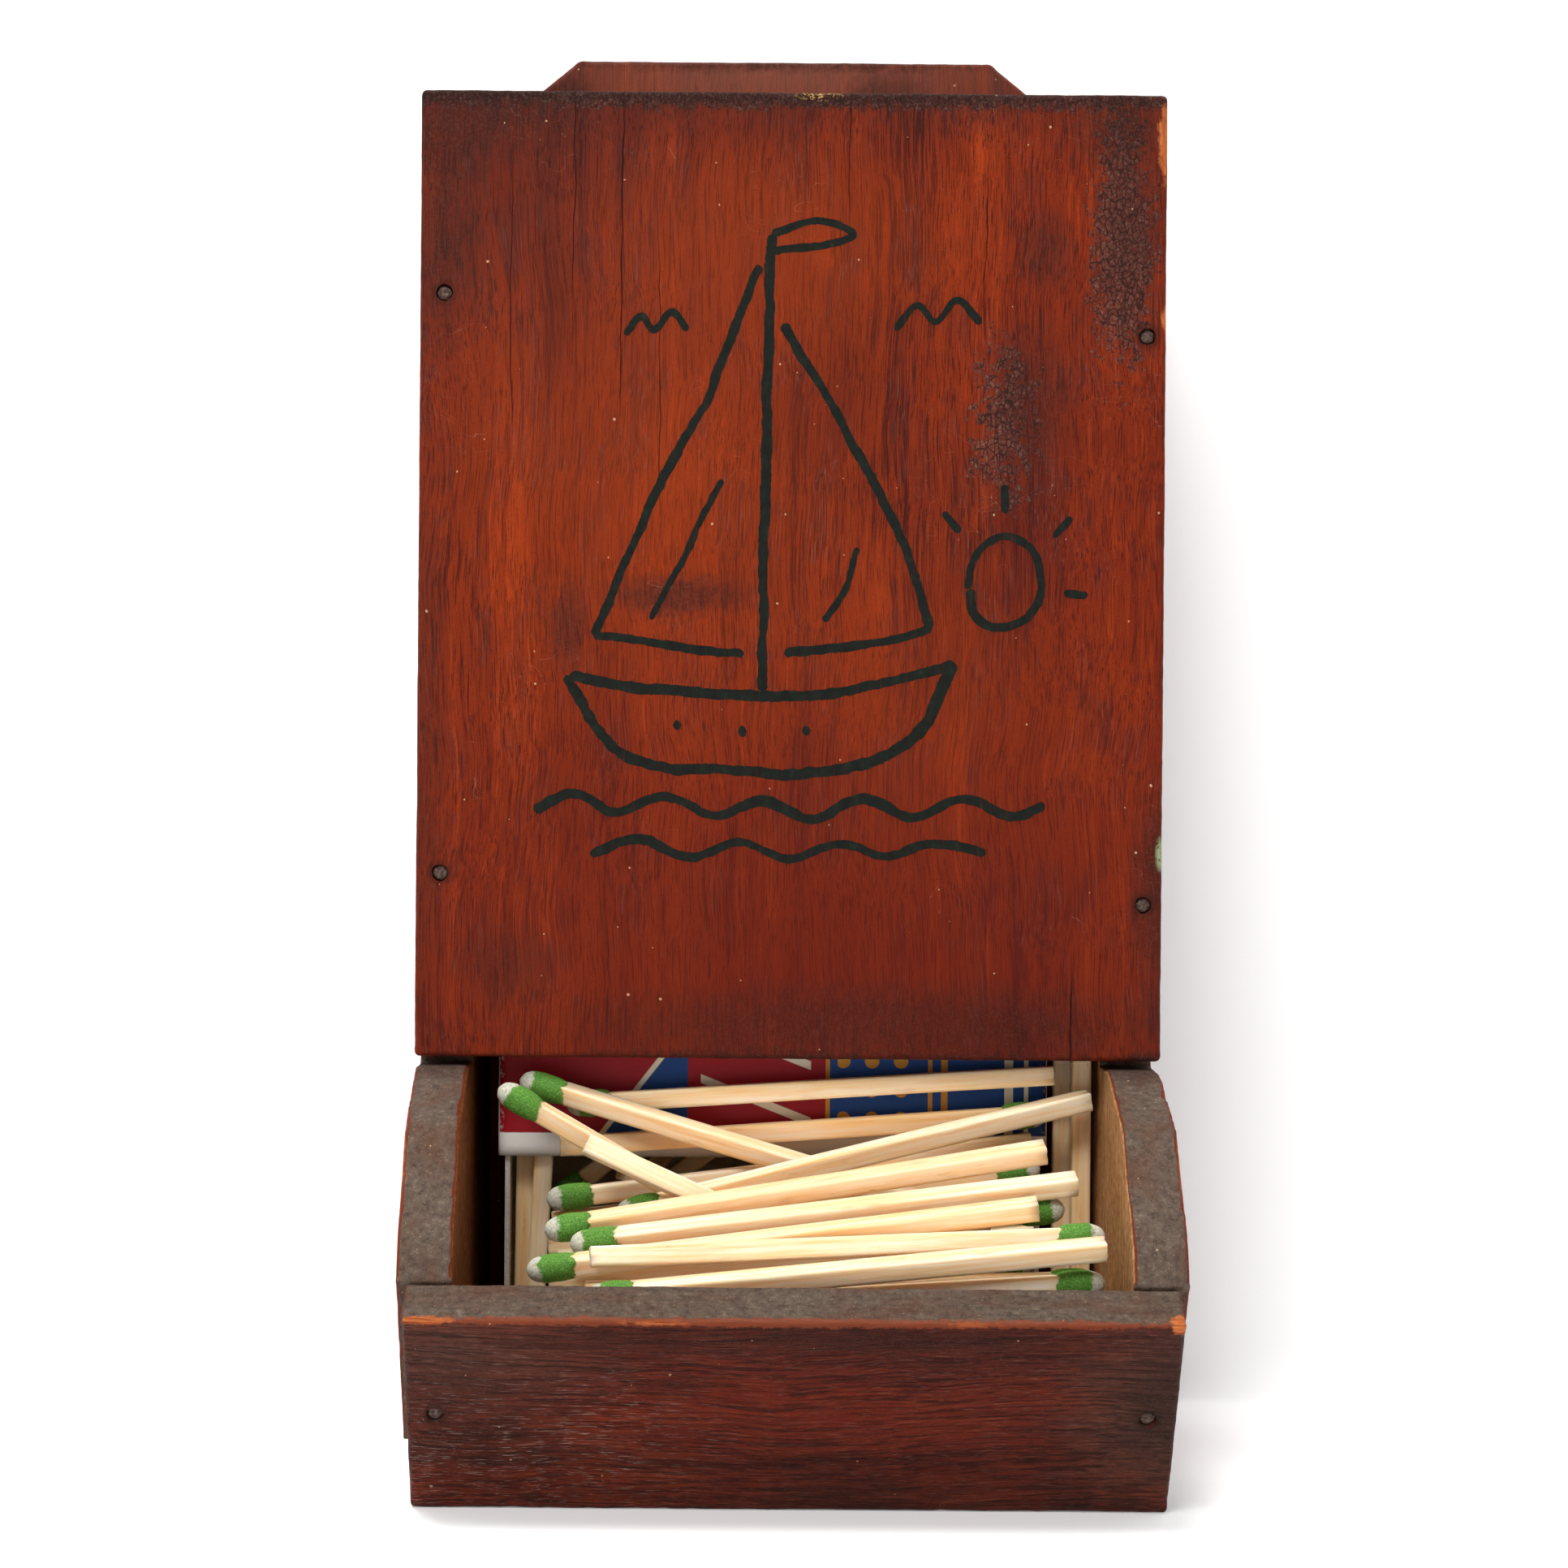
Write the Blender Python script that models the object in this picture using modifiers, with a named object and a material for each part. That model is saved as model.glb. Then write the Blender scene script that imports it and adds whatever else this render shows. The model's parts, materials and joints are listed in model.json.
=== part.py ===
"""Wooden holder for one large box of kitchen matches, with the box and its loose matches in it.

Six thin boards nailed together with brads make a chute, which the matchbox drops into from above, and a
sloping tray under it, where the matches fall within reach. Lengths are in metres, +Z is up, the tray
faces -Y, and the origin is at the middle of the footprint on the surface that the holder stands on.
"""

import math

import bmesh
import bpy
from mathutils import Matrix, Vector

MM = 0.001

# Fits
GAP = 0.3 * MM  # joint line between neighbouring pieces
OVERRUN = 1.0 * MM  # how far a cutter runs past the face that it opens
WELD = 0.002 * MM  # points nearer than this are one

# Matchbox: a cardboard sleeve, pulled up over the drawer that stands in the chute
BOX_PLAY = 8.0 * MM  # how much wider the box is than its matches are long
BOX_DEPTH = 37.0 * MM
SLEEVE_LENGTH = 121.0 * MM
SLEEVE_CORNER = 0.8 * MM
DRAWER_LENGTH = 119.0 * MM
CARD_T = 0.6 * MM
SLEEVE_LIFT = 30.8 * MM
BOX_SHIFT = 1.5 * MM  # the box stands this far left of the middle
BOX_SETBACK = 1.6 * MM  # from the front board's rear face to the sleeve

# Boards of the chute
BOARD_T = 6.4 * MM
SIDE_PLAY = 9.2 * MM  # how much wider than the box the chute is
DEPTH_PLAY = 4.0 * MM  # how much deeper
FRONT_LENGTH = 117.35 * MM
FRONT_OVERHANG = 0.3 * MM  # the front board juts out past the sides by this much
FRONT_BOTTOM = 50.8 * MM  # the front board's lower edge above the underside
SIDE_DROP = 0.4 * MM  # the sides end this far below the front board's top
EDGE_R = 0.5 * MM  # worn edges
EDGE_STEPS = 2

# Hanging tab of the back board
TAB_RISE = 13.5 * MM
TAB_WIDTH = 55.4 * MM
TAB_ANGLE = math.radians(39.3)
HANG_HOLE_D = 4.0 * MM
HANG_HOLE_DROP = 8.0 * MM
HANG_HOLE_SIDES = 20

# Tray: the sides' lower wings, the leaning lip and the floor under them
TRAY_REACH = 28.0 * MM  # from the front board's face to the front corner of a wing
LIP_HEIGHT = 27.5 * MM
LIP_ANGLE = math.radians(32.0)
LIP_T = 6.4 * MM
LIP_INSET = 1.15 * MM  # the lip ends this far inside the sides' outer faces
FLOOR_T = 6.9 * MM
FLOOR_INSET = 1.8 * MM
NOTCH = 1.0 * MM  # slot between a wing's shoulder and the front board's lower edge
WING_CURVE_STEPS = 10
# The wing's top edge, from the shoulder to the front corner, as shares of its reach and of its height
WING_REACH_SHARES = (0.0, 0.09, 0.31, 0.46, 0.60, 0.72, 0.87, 0.95, 1.0)
WING_HEIGHT_SHARES = (1.0, 0.99, 0.88, 0.81, 0.73, 0.53, 0.33, 0.19, 0.0)

# Brads
NAIL_LENGTH = 19.0 * MM
NAIL_SHANK_D = 1.2 * MM
NAIL_HEAD_D = 1.8 * MM
NAIL_HEAD_T = 0.5 * MM
NAIL_TIP = 2.0 * MM
NAIL_SET = 0.35 * MM  # the head sits this far below the wood
NAIL_GAP = 0.25 * MM
NAIL_SIDES = 10
# Heights of the brads as shares of the board that they hold, from its lower edge
FRONT_NAIL_LEFT_SHARES = (0.19, 0.79)
FRONT_NAIL_RIGHT_SHARES = (0.162, 0.75)
BACK_NAIL_SHARES = (0.22, 0.82)
FLOOR_NAIL_SHARES = (0.25, 0.75)
LIP_NAIL_SHARE = 0.50
# Insets of the brads from the side's outer face, as shares of its thickness
FRONT_NAIL_LEFT_INSET_SHARE = 0.42
FRONT_NAIL_RIGHT_INSET_SHARE = 0.31
BACK_NAIL_INSET_SHARE = 0.5
FLOOR_NAIL_INSET_SHARE = 0.5
LIP_NAIL_INSET_SHARE = 0.7

# Matches
MATCH_LENGTH = 60.0 * MM
STICK = 2.35 * MM
HEAD_D = 3.5 * MM
HEAD_LENGTH = 5.8 * MM
HEAD_SIDES = 8
HEAD_LENGTH_SHARES = (0.0, 0.14, 0.42, 0.70, 0.91, 1.0)
HEAD_RADIUS_SHARES = (0.66, 0.93, 1.0, 0.93, 0.62, 0.0)

# Layers of matches at the bottom of the tray and of the drawer, which touch their neighbours end for end
LAYER_STEP = 3.8 * MM
LAYER_JOIN = 0.25 * MM  # how far a head is pressed into the next stick, which joins the layer
LAYER_TURN = math.radians(3.0)  # sticks roll this way and that
TRAY_LAYERS = 4
DRAWER_LAYERS = 3
CHANNEL_FRONT_SHARE = 8.6  # the upper layers leave room for the steep matches, in sticks from the sleeve
CHANNEL_REAR_SHARE = 3.85

HEAD_LEFT, HEAD_RIGHT = -1, 1
# Loose matches on top: where the middle lies as a share of the play between the sides, the side that the
# head points to, then tail depth, tail height, head depth and head height in sticks, from the front of
# the sleeve and from the top of the floor, and last the turn about its own length in degrees
TRAY_MATCH_SHARES = {
    "match_upper_row": (0.09, HEAD_LEFT, 7.90, 14.50, 8.98, 10.42, 25),
    "match_middle_row": (0.47, HEAD_LEFT, 9.05, 13.05, 10.20, 9.92, 25),
    "match_lower_row": (-0.10, HEAD_LEFT, 10.47, 11.95, 11.62, 8.80, 20),
    "match_front_row": (0.78, HEAD_RIGHT, 13.38, 9.76, 11.05, 10.65, 15),
    "match_on_lip": (0.73, HEAD_LEFT, 12.95, 10.30, 13.92, 7.86, 20),
    "match_behind_lip": (0.74, HEAD_RIGHT, 12.52, 7.10, 12.06, 8.50, 0),
    "match_under_front_row": (0.71, HEAD_RIGHT, 10.95, 7.70, 10.45, 8.32, 0),
    "match_sloping_left": (0.37, HEAD_RIGHT, 6.86, 14.58, 8.00, 4.18, 20),
    "match_raised_left": (-1.03, HEAD_LEFT, 4.00, 4.50, 4.80, 17.21, 10),
    "match_crossing_left": (-0.44, HEAD_LEFT, 3.62, 10.30, 2.50, 17.45, 20),
    "match_crossing_right": (0.96, HEAD_LEFT, 2.10, 16.60, 6.56, 10.97, 10),
    "match_under_crossing": (0.06, HEAD_LEFT, 0.66, 14.24, 2.95, 11.26, 0),
    "match_across_sleeve": (0.26, HEAD_RIGHT, 1.49, 13.90, 0.89, 15.72, 0),
    "match_top": (0.34, HEAD_LEFT, 1.28, 17.79, 1.14, 16.06, 0),
    "match_behind_rows": (0.15, HEAD_RIGHT, 1.82, 10.02, 2.14, 13.02, 0),
    "match_support_1": (0.09, HEAD_RIGHT, 1.62, 8.80, 2.02, 11.40, 0),
    "match_support_2": (0.05, HEAD_LEFT, 2.30, 9.60, 2.25, 7.45, 0),
    "match_support_3": (0.11, HEAD_RIGHT, 0.84, 7.35, 0.96, 8.05, 0),
    "match_support_4": (0.31, HEAD_RIGHT, 8.95, 8.93, 8.50, 11.70, 20),
    "match_support_5": (0.20, HEAD_RIGHT, 9.70, 7.75, 9.05, 9.95, 10),
}
# Matches that lean in the drawer: where the lower end lies, in sticks from the drawer's left wall, front
# edge and end wall, then the lean up to the right in degrees, how far back the other end reaches as a
# share of the drawer's depth, and where the head is
HEAD_LOW, HEAD_HIGH = -1, 1
DRAWER_MATCH_SHARES = {
    "match_upright_in_drawer_1": (1.12, 0.75, 0.18, 87.1, 0, HEAD_HIGH),
    "match_upright_in_drawer_2": (0.64, 1.92, 0.18, 89.4, 0, HEAD_HIGH),
    "match_leaning_in_drawer_1": (2.00, 2.00, 9.90, 38.5, 0, HEAD_LOW),
    "match_leaning_in_drawer_2": (2.15, 5.25, 5.65, 48.5, 0, HEAD_HIGH),
    "match_leaning_in_drawer_3": (2.55, 3.62, 6.50, 38.5, 0, HEAD_LOW),
    "match_under_sleeve_edge": (5.85, -0.20, 12.10, -14.0, 0.90, HEAD_HIGH),
}
BESIDE_BOX_INNER_DEPTH_SHARE = 1.53  # two matches stand beside the box, this many sticks behind its front
BESIDE_BOX_OUTER_DEPTH_SHARE = 0.13

# Places worked out from the sizes above
BOX_WIDTH = MATCH_LENGTH + BOX_PLAY
INNER_WIDTH = BOX_WIDTH + SIDE_PLAY
OUTER_WIDTH = INNER_WIDTH + 2 * BOARD_T
FRONT_WIDTH = OUTER_WIDTH + 2 * FRONT_OVERHANG
LIP_WIDTH = OUTER_WIDTH - 2 * LIP_INSET
FLOOR_WIDTH = OUTER_WIDTH - 2 * FLOOR_INSET
CHUTE_DEPTH = BOX_DEPTH + DEPTH_PLAY
FRONT_TOP = FRONT_BOTTOM + FRONT_LENGTH
SIDE_TOP = FRONT_TOP - SIDE_DROP
BACK_TOP = FRONT_TOP + TAB_RISE
SIDE_BOTTOM = FLOOR_T + GAP
LIP_OUT = GAP / math.cos(LIP_ANGLE) + LIP_T * math.cos(LIP_ANGLE)
LIP_OUT -= EDGE_R * (math.cos(LIP_ANGLE) + math.sin(LIP_ANGLE) - 1)
TOTAL_DEPTH = TRAY_REACH + LIP_OUT + BOARD_T + CHUTE_DEPTH + BOARD_T
FRONT_Y = TRAY_REACH + LIP_OUT - TOTAL_DEPTH / 2
CHUTE_FRONT_Y = FRONT_Y + BOARD_T
CHUTE_BACK_Y = CHUTE_FRONT_Y + CHUTE_DEPTH
BACK_Y = CHUTE_BACK_Y + BOARD_T
WING_FRONT_Y = FRONT_Y - TRAY_REACH
SLEEVE_FRONT_Y = CHUTE_FRONT_Y + BOX_SETBACK
SLEEVE_BOTTOM = SIDE_BOTTOM + SLEEVE_LIFT
DRAWER_WIDTH = BOX_WIDTH - 2 * (CARD_T + GAP)
DRAWER_DEPTH = BOX_DEPTH - 2 * (CARD_T + GAP)
DRAWER_FRONT_Y = SLEEVE_FRONT_Y + CARD_T + GAP

# Axes of a flat outline: along X it is drawn in the YZ plane, along Y in the XZ plane
ALONG_X = Matrix(((0, 0, 1), (1, 0, 0), (0, 1, 0))).to_4x4()
ALONG_Y = Matrix(((1, 0, 0), (0, 0, -1), (0, 1, 0))).to_4x4()


def clear_scene():
    for obj in list(bpy.data.objects):
        bpy.data.objects.remove(obj, do_unlink=True)


def collection(name, hidden=False):
    made = bpy.data.collections.new(name)
    made.hide_render = hidden
    bpy.context.scene.collection.children.link(made)
    return made


def finish(name, colour, roughness, metallic=0.0):
    """A Principled material in the piece's own colour."""
    made = bpy.data.materials.new(name)
    made.use_nodes = True
    shader = made.node_tree.nodes["Principled BSDF"]
    shader.inputs["Base Color"].default_value = (*colour, 1.0)
    shader.inputs["Roughness"].default_value = roughness
    shader.inputs["Metallic"].default_value = metallic
    made.diffuse_color = (*colour, 1.0)
    return made


def place(name, mesh, group, material=None, matrix=None):
    """An object of this mesh in the group."""
    obj = bpy.data.objects.new(name, mesh)
    if matrix is not None:
        obj.matrix_world = matrix
    if material is not None and not mesh.materials:
        mesh.materials.append(material)
    group.objects.link(obj)
    return obj


def evaluated_mesh(obj):
    """The object's mesh with its modifiers applied, welded and facing out. The object itself goes."""
    bpy.context.view_layer.update()
    graph = bpy.context.evaluated_depsgraph_get()
    mesh = bpy.data.meshes.new_from_object(obj.evaluated_get(graph))
    bm = bmesh.new()
    bm.from_mesh(mesh)
    bmesh.ops.remove_doubles(bm, verts=bm.verts, dist=WELD)
    bmesh.ops.recalc_face_normals(bm, faces=bm.faces)
    bm.to_mesh(mesh)
    bm.free()
    bpy.data.objects.remove(obj, do_unlink=True)
    return mesh


def block_mesh(name, size):
    """A box centred on its own origin."""
    mesh = bpy.data.meshes.new(name)
    bm = bmesh.new()
    bmesh.ops.create_cube(bm, size=1.0)
    bmesh.ops.scale(bm, vec=size, verts=bm.verts)
    bm.to_mesh(mesh)
    bm.free()
    return mesh


def outline_mesh(name, points, thickness):
    """A flat outline with this thickness, as a mesh in its own XY plane."""
    curve = bpy.data.curves.new(name, "CURVE")
    curve.dimensions = "2D"
    curve.fill_mode = "BOTH"
    curve.extrude = thickness / 2
    spline = curve.splines.new("POLY")
    spline.points.add(len(points) - 1)
    for point, (x, y) in zip(spline.points, points):
        point.co = (x, y, 0.0, 1.0)
    spline.use_cyclic_u = True
    guide = bpy.data.objects.new(name, curve)
    bpy.context.scene.collection.objects.link(guide)
    return evaluated_mesh(guide)


def turned_mesh(name, profile, sides):
    """A profile of (radius, height) points, top to bottom, turned about Z."""
    mesh = bpy.data.meshes.new(name)
    points = [(radius, 0.0, height) for radius, height in profile]
    mesh.from_pydata(points, [(i, i + 1) for i in range(len(points) - 1)], [])
    guide = bpy.data.objects.new(name, mesh)
    bpy.context.scene.collection.objects.link(guide)
    screw = guide.modifiers.new("turn", "SCREW")
    screw.steps = sides
    screw.render_steps = sides
    screw.use_merge_vertices = True
    screw.merge_threshold = WELD
    return evaluated_mesh(guide)


def round_edges(obj, radius=EDGE_R):
    bevel = obj.modifiers.new("worn_edges", "BEVEL")
    bevel.width = radius
    bevel.segments = EDGE_STEPS
    bevel.limit_method = "ANGLE"
    bevel.angle_limit = math.radians(30.0)


def boolean(obj, operation, other):
    cut = obj.modifiers.new(operation.lower(), "BOOLEAN")
    cut.operation = operation
    cut.solver = "EXACT"
    cut.object = other


def arc_points(shares_along, shares_up, steps):
    """A smooth curve through the points of two share tables, by Catmull-Rom."""
    points = [Vector(pair) for pair in zip(shares_along, shares_up)]
    points = [2 * points[0] - points[1]] + points + [2 * points[-1] - points[-2]]
    curve = []
    for a, b, c, d in zip(points, points[1:], points[2:], points[3:]):
        for step in range(steps):
            t = step / steps
            smooth = 2 * b + (c - a) * t
            smooth += (2 * a - 5 * b + 4 * c - d) * t * t
            smooth += (3 * b - a - 3 * c + d) * t * t * t
            curve.append(smooth / 2)
    curve.append(points[-2])
    return curve


def lip_rear_y(height):
    """Where the lip's rear face stands at this height."""
    return WING_FRONT_Y - GAP / math.cos(LIP_ANGLE) + (LIP_HEIGHT - height) * math.tan(LIP_ANGLE)


def side_outline():
    """A side board in the YZ plane: the tall chute wall with the tray's wing at its foot."""
    shoulder = FRONT_BOTTOM - NOTCH
    drop = shoulder - LIP_HEIGHT
    reach = CHUTE_FRONT_Y - WING_FRONT_Y
    curve = arc_points(WING_REACH_SHARES, WING_HEIGHT_SHARES, 2)
    wing = []
    for along, up in curve:
        wing.append((FRONT_Y - along * TRAY_REACH, LIP_HEIGHT + up * drop))
    foot_y = WING_FRONT_Y + (LIP_HEIGHT - SIDE_BOTTOM) * math.tan(LIP_ANGLE)
    outline = [
        (CHUTE_BACK_Y - GAP, SIDE_BOTTOM),
        (CHUTE_BACK_Y - GAP, SIDE_TOP),
        (CHUTE_FRONT_Y + GAP, SIDE_TOP),
        (CHUTE_FRONT_Y + GAP, shoulder),
    ]
    return outline + wing + [(foot_y, SIDE_BOTTOM)]


def back_outline():
    """The back board in the XZ plane, with its tab between two slanting shoulders."""
    half = OUTER_WIDTH / 2
    tab = TAB_WIDTH / 2
    shoulder = BACK_TOP - (half - tab) * math.tan(TAB_ANGLE)
    return [(-half, 0), (half, 0), (half, shoulder), (tab, BACK_TOP), (-tab, BACK_TOP), (-half, shoulder)]


def lip_outline():
    """The lip's section in the YZ plane: a leaning board, planed level with the underside."""
    inner = Vector((lip_rear_y(LIP_HEIGHT), LIP_HEIGHT))
    outer = inner - LIP_T * Vector((math.cos(LIP_ANGLE), math.sin(LIP_ANGLE)))
    foot = outer.x + outer.y * math.tan(LIP_ANGLE)
    return [tuple(inner), tuple(outer), (foot, 0), (lip_rear_y(0), 0)]


def floor_outline():
    """The floor's section in the YZ plane, its front end cut to the lean of the lip."""
    lean_gap = GAP / math.cos(LIP_ANGLE)
    rear = CHUTE_BACK_Y - GAP
    return [(rear, 0), (rear, FLOOR_T), (lip_rear_y(FLOOR_T) + lean_gap, FLOOR_T), (lip_rear_y(0) + lean_gap, 0)]


def build_boards(group, stained, worn):
    """The six boards. Each goes by its name in the result."""
    boards = {}
    half_way = (INNER_WIDTH + BOARD_T) / 2
    side_mesh = outline_mesh("side", side_outline(), BOARD_T)
    side_mesh.materials.append(stained)
    for name, sign in (("left_side", -1), ("right_side", 1)):
        boards[name] = place(name, side_mesh, group, None, Matrix.Translation((sign * half_way, 0, 0)) @ ALONG_X)
    back_mesh = outline_mesh("back", back_outline(), BOARD_T)
    back_middle = Matrix.Translation((0, (CHUTE_BACK_Y + BACK_Y) / 2, 0)) @ ALONG_Y
    boards["back_board"] = place("back_board", back_mesh, group, stained, back_middle)
    front_mesh = block_mesh("front", (FRONT_WIDTH, BOARD_T, FRONT_LENGTH))
    front_middle = Matrix.Translation((0, (FRONT_Y + CHUTE_FRONT_Y) / 2, (FRONT_BOTTOM + FRONT_TOP) / 2))
    boards["front_board"] = place("front_board", front_mesh, group, stained, front_middle)
    lip_mesh = outline_mesh("lip", lip_outline(), LIP_WIDTH)
    boards["tray_lip"] = place("tray_lip", lip_mesh, group, worn, ALONG_X)
    floor_mesh = outline_mesh("floor", floor_outline(), FLOOR_WIDTH)
    boards["bottom_board"] = place("bottom_board", floor_mesh, group, worn, ALONG_X)
    for board in boards.values():
        round_edges(board)
    return boards


def cut_hang_hole(back, cutters):
    """The screw hole in the middle of the tab."""
    radius = HANG_HOLE_D / 2
    top = BOARD_T / 2 + OVERRUN
    mesh = turned_mesh("hang_hole", [(0, top), (radius, top), (radius, -top), (0, -top)], HANG_HOLE_SIDES)
    middle = Vector((0, (CHUTE_BACK_Y + BACK_Y) / 2, BACK_TOP - HANG_HOLE_DROP))
    cutter = place("hang_hole", mesh, cutters, None, Matrix.Translation(middle) @ ALONG_Y)
    boolean(back, "DIFFERENCE", cutter)
    return cutter


def nail_profile():
    """A brad from its head down to its point."""
    head, shank = NAIL_HEAD_D / 2, NAIL_SHANK_D / 2
    neck = -NAIL_HEAD_T
    return [(0, 0), (head, 0), (head, neck), (shank, neck), (shank, NAIL_TIP - NAIL_LENGTH), (0, -NAIL_LENGTH)]


def nail_hole_profile():
    """The hole around a brad, from above the wood down to its flat end."""
    head, shank = NAIL_HEAD_D / 2 + NAIL_GAP, NAIL_SHANK_D / 2 + NAIL_GAP
    top = NAIL_SET + OVERRUN
    neck, foot = -NAIL_HEAD_T - NAIL_GAP, -NAIL_LENGTH - NAIL_GAP
    return [(0, top), (head, top), (head, neck), (shank, neck), (shank, foot), (0, foot)]


def nail_reach(inset_share):
    """How far from the middle a brad is driven into a side's edge."""
    return OUTER_WIDTH / 2 - inset_share * BOARD_T


def nail_rows():
    """Each row of brads: its name, the boards that it holds, and where and which way each brad is driven."""
    front, back, up = Vector((0, 1, 0)), Vector((0, -1, 0)), Vector((0, 0, 1))
    front_row = []
    left = (-nail_reach(FRONT_NAIL_LEFT_INSET_SHARE), FRONT_NAIL_LEFT_SHARES)
    right = (nail_reach(FRONT_NAIL_RIGHT_INSET_SHARE), FRONT_NAIL_RIGHT_SHARES)
    for x, shares in (left, right):
        for share in shares:
            front_row.append((Vector((x, FRONT_Y, FRONT_BOTTOM + share * FRONT_LENGTH)), front))
    back_row = []
    floor_row = []
    lip_row = []
    along_floor = CHUTE_BACK_Y - WING_FRONT_Y
    lip_down = Vector((0, math.cos(LIP_ANGLE), math.sin(LIP_ANGLE)))
    _, outer, foot, _ = lip_outline()
    lip_y = outer[0] + LIP_NAIL_SHARE * (foot[0] - outer[0])
    lip_z = outer[1] * (1 - LIP_NAIL_SHARE)
    for sign in (-1, 1):
        for share in BACK_NAIL_SHARES:
            back_row.append((Vector((sign * nail_reach(BACK_NAIL_INSET_SHARE), BACK_Y, share * SIDE_TOP)), back))
        for share in FLOOR_NAIL_SHARES:
            floor_y = CHUTE_BACK_Y - share * along_floor
            floor_row.append((Vector((sign * nail_reach(FLOOR_NAIL_INSET_SHARE), floor_y, 0)), up))
        lip_row.append((Vector((sign * nail_reach(LIP_NAIL_INSET_SHARE), lip_y, lip_z)), lip_down))
    return (
        ("front_nail", ("front_board", "left_side", "right_side"), front_row),
        ("back_nail", ("back_board", "left_side", "right_side"), back_row),
        ("floor_nail", ("bottom_board", "left_side", "right_side"), floor_row),
        ("lip_nail", ("tray_lip", "left_side", "right_side"), lip_row),
    )


def build_nails(boards, group, cutters, steel):
    """Every brad, and the hole that each one has in the boards of its row."""
    nail = turned_mesh("brad", nail_profile(), NAIL_SIDES)
    nail.materials.append(steel)
    hole = turned_mesh("brad_hole", nail_hole_profile(), NAIL_SIDES)
    for row, held, places in nail_rows():
        for number, (point, way) in enumerate(places, 1):
            turn = (-way).to_track_quat("Z", "Y").to_matrix().to_4x4()
            matrix = Matrix.Translation(point + NAIL_SET * way) @ turn
            place(f"{row}_{number}", nail, group, None, matrix)
            cutter = place(f"{row}_hole_{number}", hole, cutters, None, matrix)
            own_side = "left_side" if point.x < 0 else "right_side"
            for board in held:
                if board in (held[0], own_side):
                    boolean(boards[board], "DIFFERENCE", cutter)


def open_box_mesh(name, size, open_faces):
    """A box centred on its own origin without the faces that point along the given axes."""
    mesh = block_mesh(name, size)
    bm = bmesh.new()
    bm.from_mesh(mesh)
    gone = [face for face in bm.faces if any(face.normal.dot(Vector(axis)) > 0.9 for axis in open_faces)]
    bmesh.ops.delete(bm, geom=gone, context="FACES_ONLY")
    bm.to_mesh(mesh)
    bm.free()
    return mesh


def card_wall(obj):
    wall = obj.modifiers.new("card", "SOLIDIFY")
    wall.thickness = CARD_T
    wall.offset = -1.0
    wall.use_even_offset = True


def build_matchbox(group, printed, board_grey):
    """The printed sleeve, open at both ends, and the drawer that stands in it with its open side forward."""
    sleeve_mesh = open_box_mesh("sleeve", (BOX_WIDTH, BOX_DEPTH, SLEEVE_LENGTH), ((0, 0, 1), (0, 0, -1)))
    middle = Vector((-BOX_SHIFT, SLEEVE_FRONT_Y + BOX_DEPTH / 2, SLEEVE_BOTTOM + SLEEVE_LENGTH / 2))
    sleeve = place("matchbox_sleeve", sleeve_mesh, group, printed, Matrix.Translation(middle))
    round_edges(sleeve, SLEEVE_CORNER)
    card_wall(sleeve)
    drawer_mesh = open_box_mesh("drawer", (DRAWER_WIDTH, DRAWER_DEPTH, DRAWER_LENGTH), ((0, -1, 0),))
    middle = Vector((-BOX_SHIFT, DRAWER_FRONT_Y + DRAWER_DEPTH / 2, SIDE_BOTTOM + DRAWER_LENGTH / 2))
    drawer = place("matchbox_drawer", drawer_mesh, group, board_grey, Matrix.Translation(middle))
    card_wall(drawer)


def match_mesh(group):
    """One match along +X from its tail: a square stick with the dipped head joined to it."""
    bare = STICK / 2
    stick_length = MATCH_LENGTH - HEAD_LENGTH / 3
    stick_mesh = block_mesh("stick", (stick_length, STICK, STICK))
    stick_mesh.transform(Matrix.Translation((stick_length / 2, 0, 0)))
    stick = place("stick", stick_mesh, group)
    profile = [(0, MATCH_LENGTH)]
    for along, out in reversed(list(zip(HEAD_LENGTH_SHARES, HEAD_RADIUS_SHARES))[:-1]):
        profile.append((out * HEAD_D / 2, MATCH_LENGTH - (1 - along) * HEAD_LENGTH))
    profile.append((0, MATCH_LENGTH - HEAD_LENGTH))
    head_mesh = turned_mesh("head", profile, HEAD_SIDES)
    head_mesh.transform(Matrix.Rotation(math.radians(90.0), 4, "Y"))
    head = place("head", head_mesh, group)
    boolean(stick, "UNION", head)
    made = evaluated_mesh(stick)
    bpy.data.objects.remove(head, do_unlink=True)
    return made


def match_matrix(tail, way, turn=0.0):
    """Puts a match's tail at a point, its head along a direction, and turns it about its own length."""
    level = Vector((0, 0, 1)) if abs(way.z) < abs(way.x) else Vector((0, 1, 0))
    across = level.cross(way).normalized()
    upward = way.cross(across)
    frame = Matrix((way, across, upward)).transposed().to_4x4()
    return Matrix.Translation(tail) @ frame @ Matrix.Rotation(-turn, 4, "X")


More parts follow.
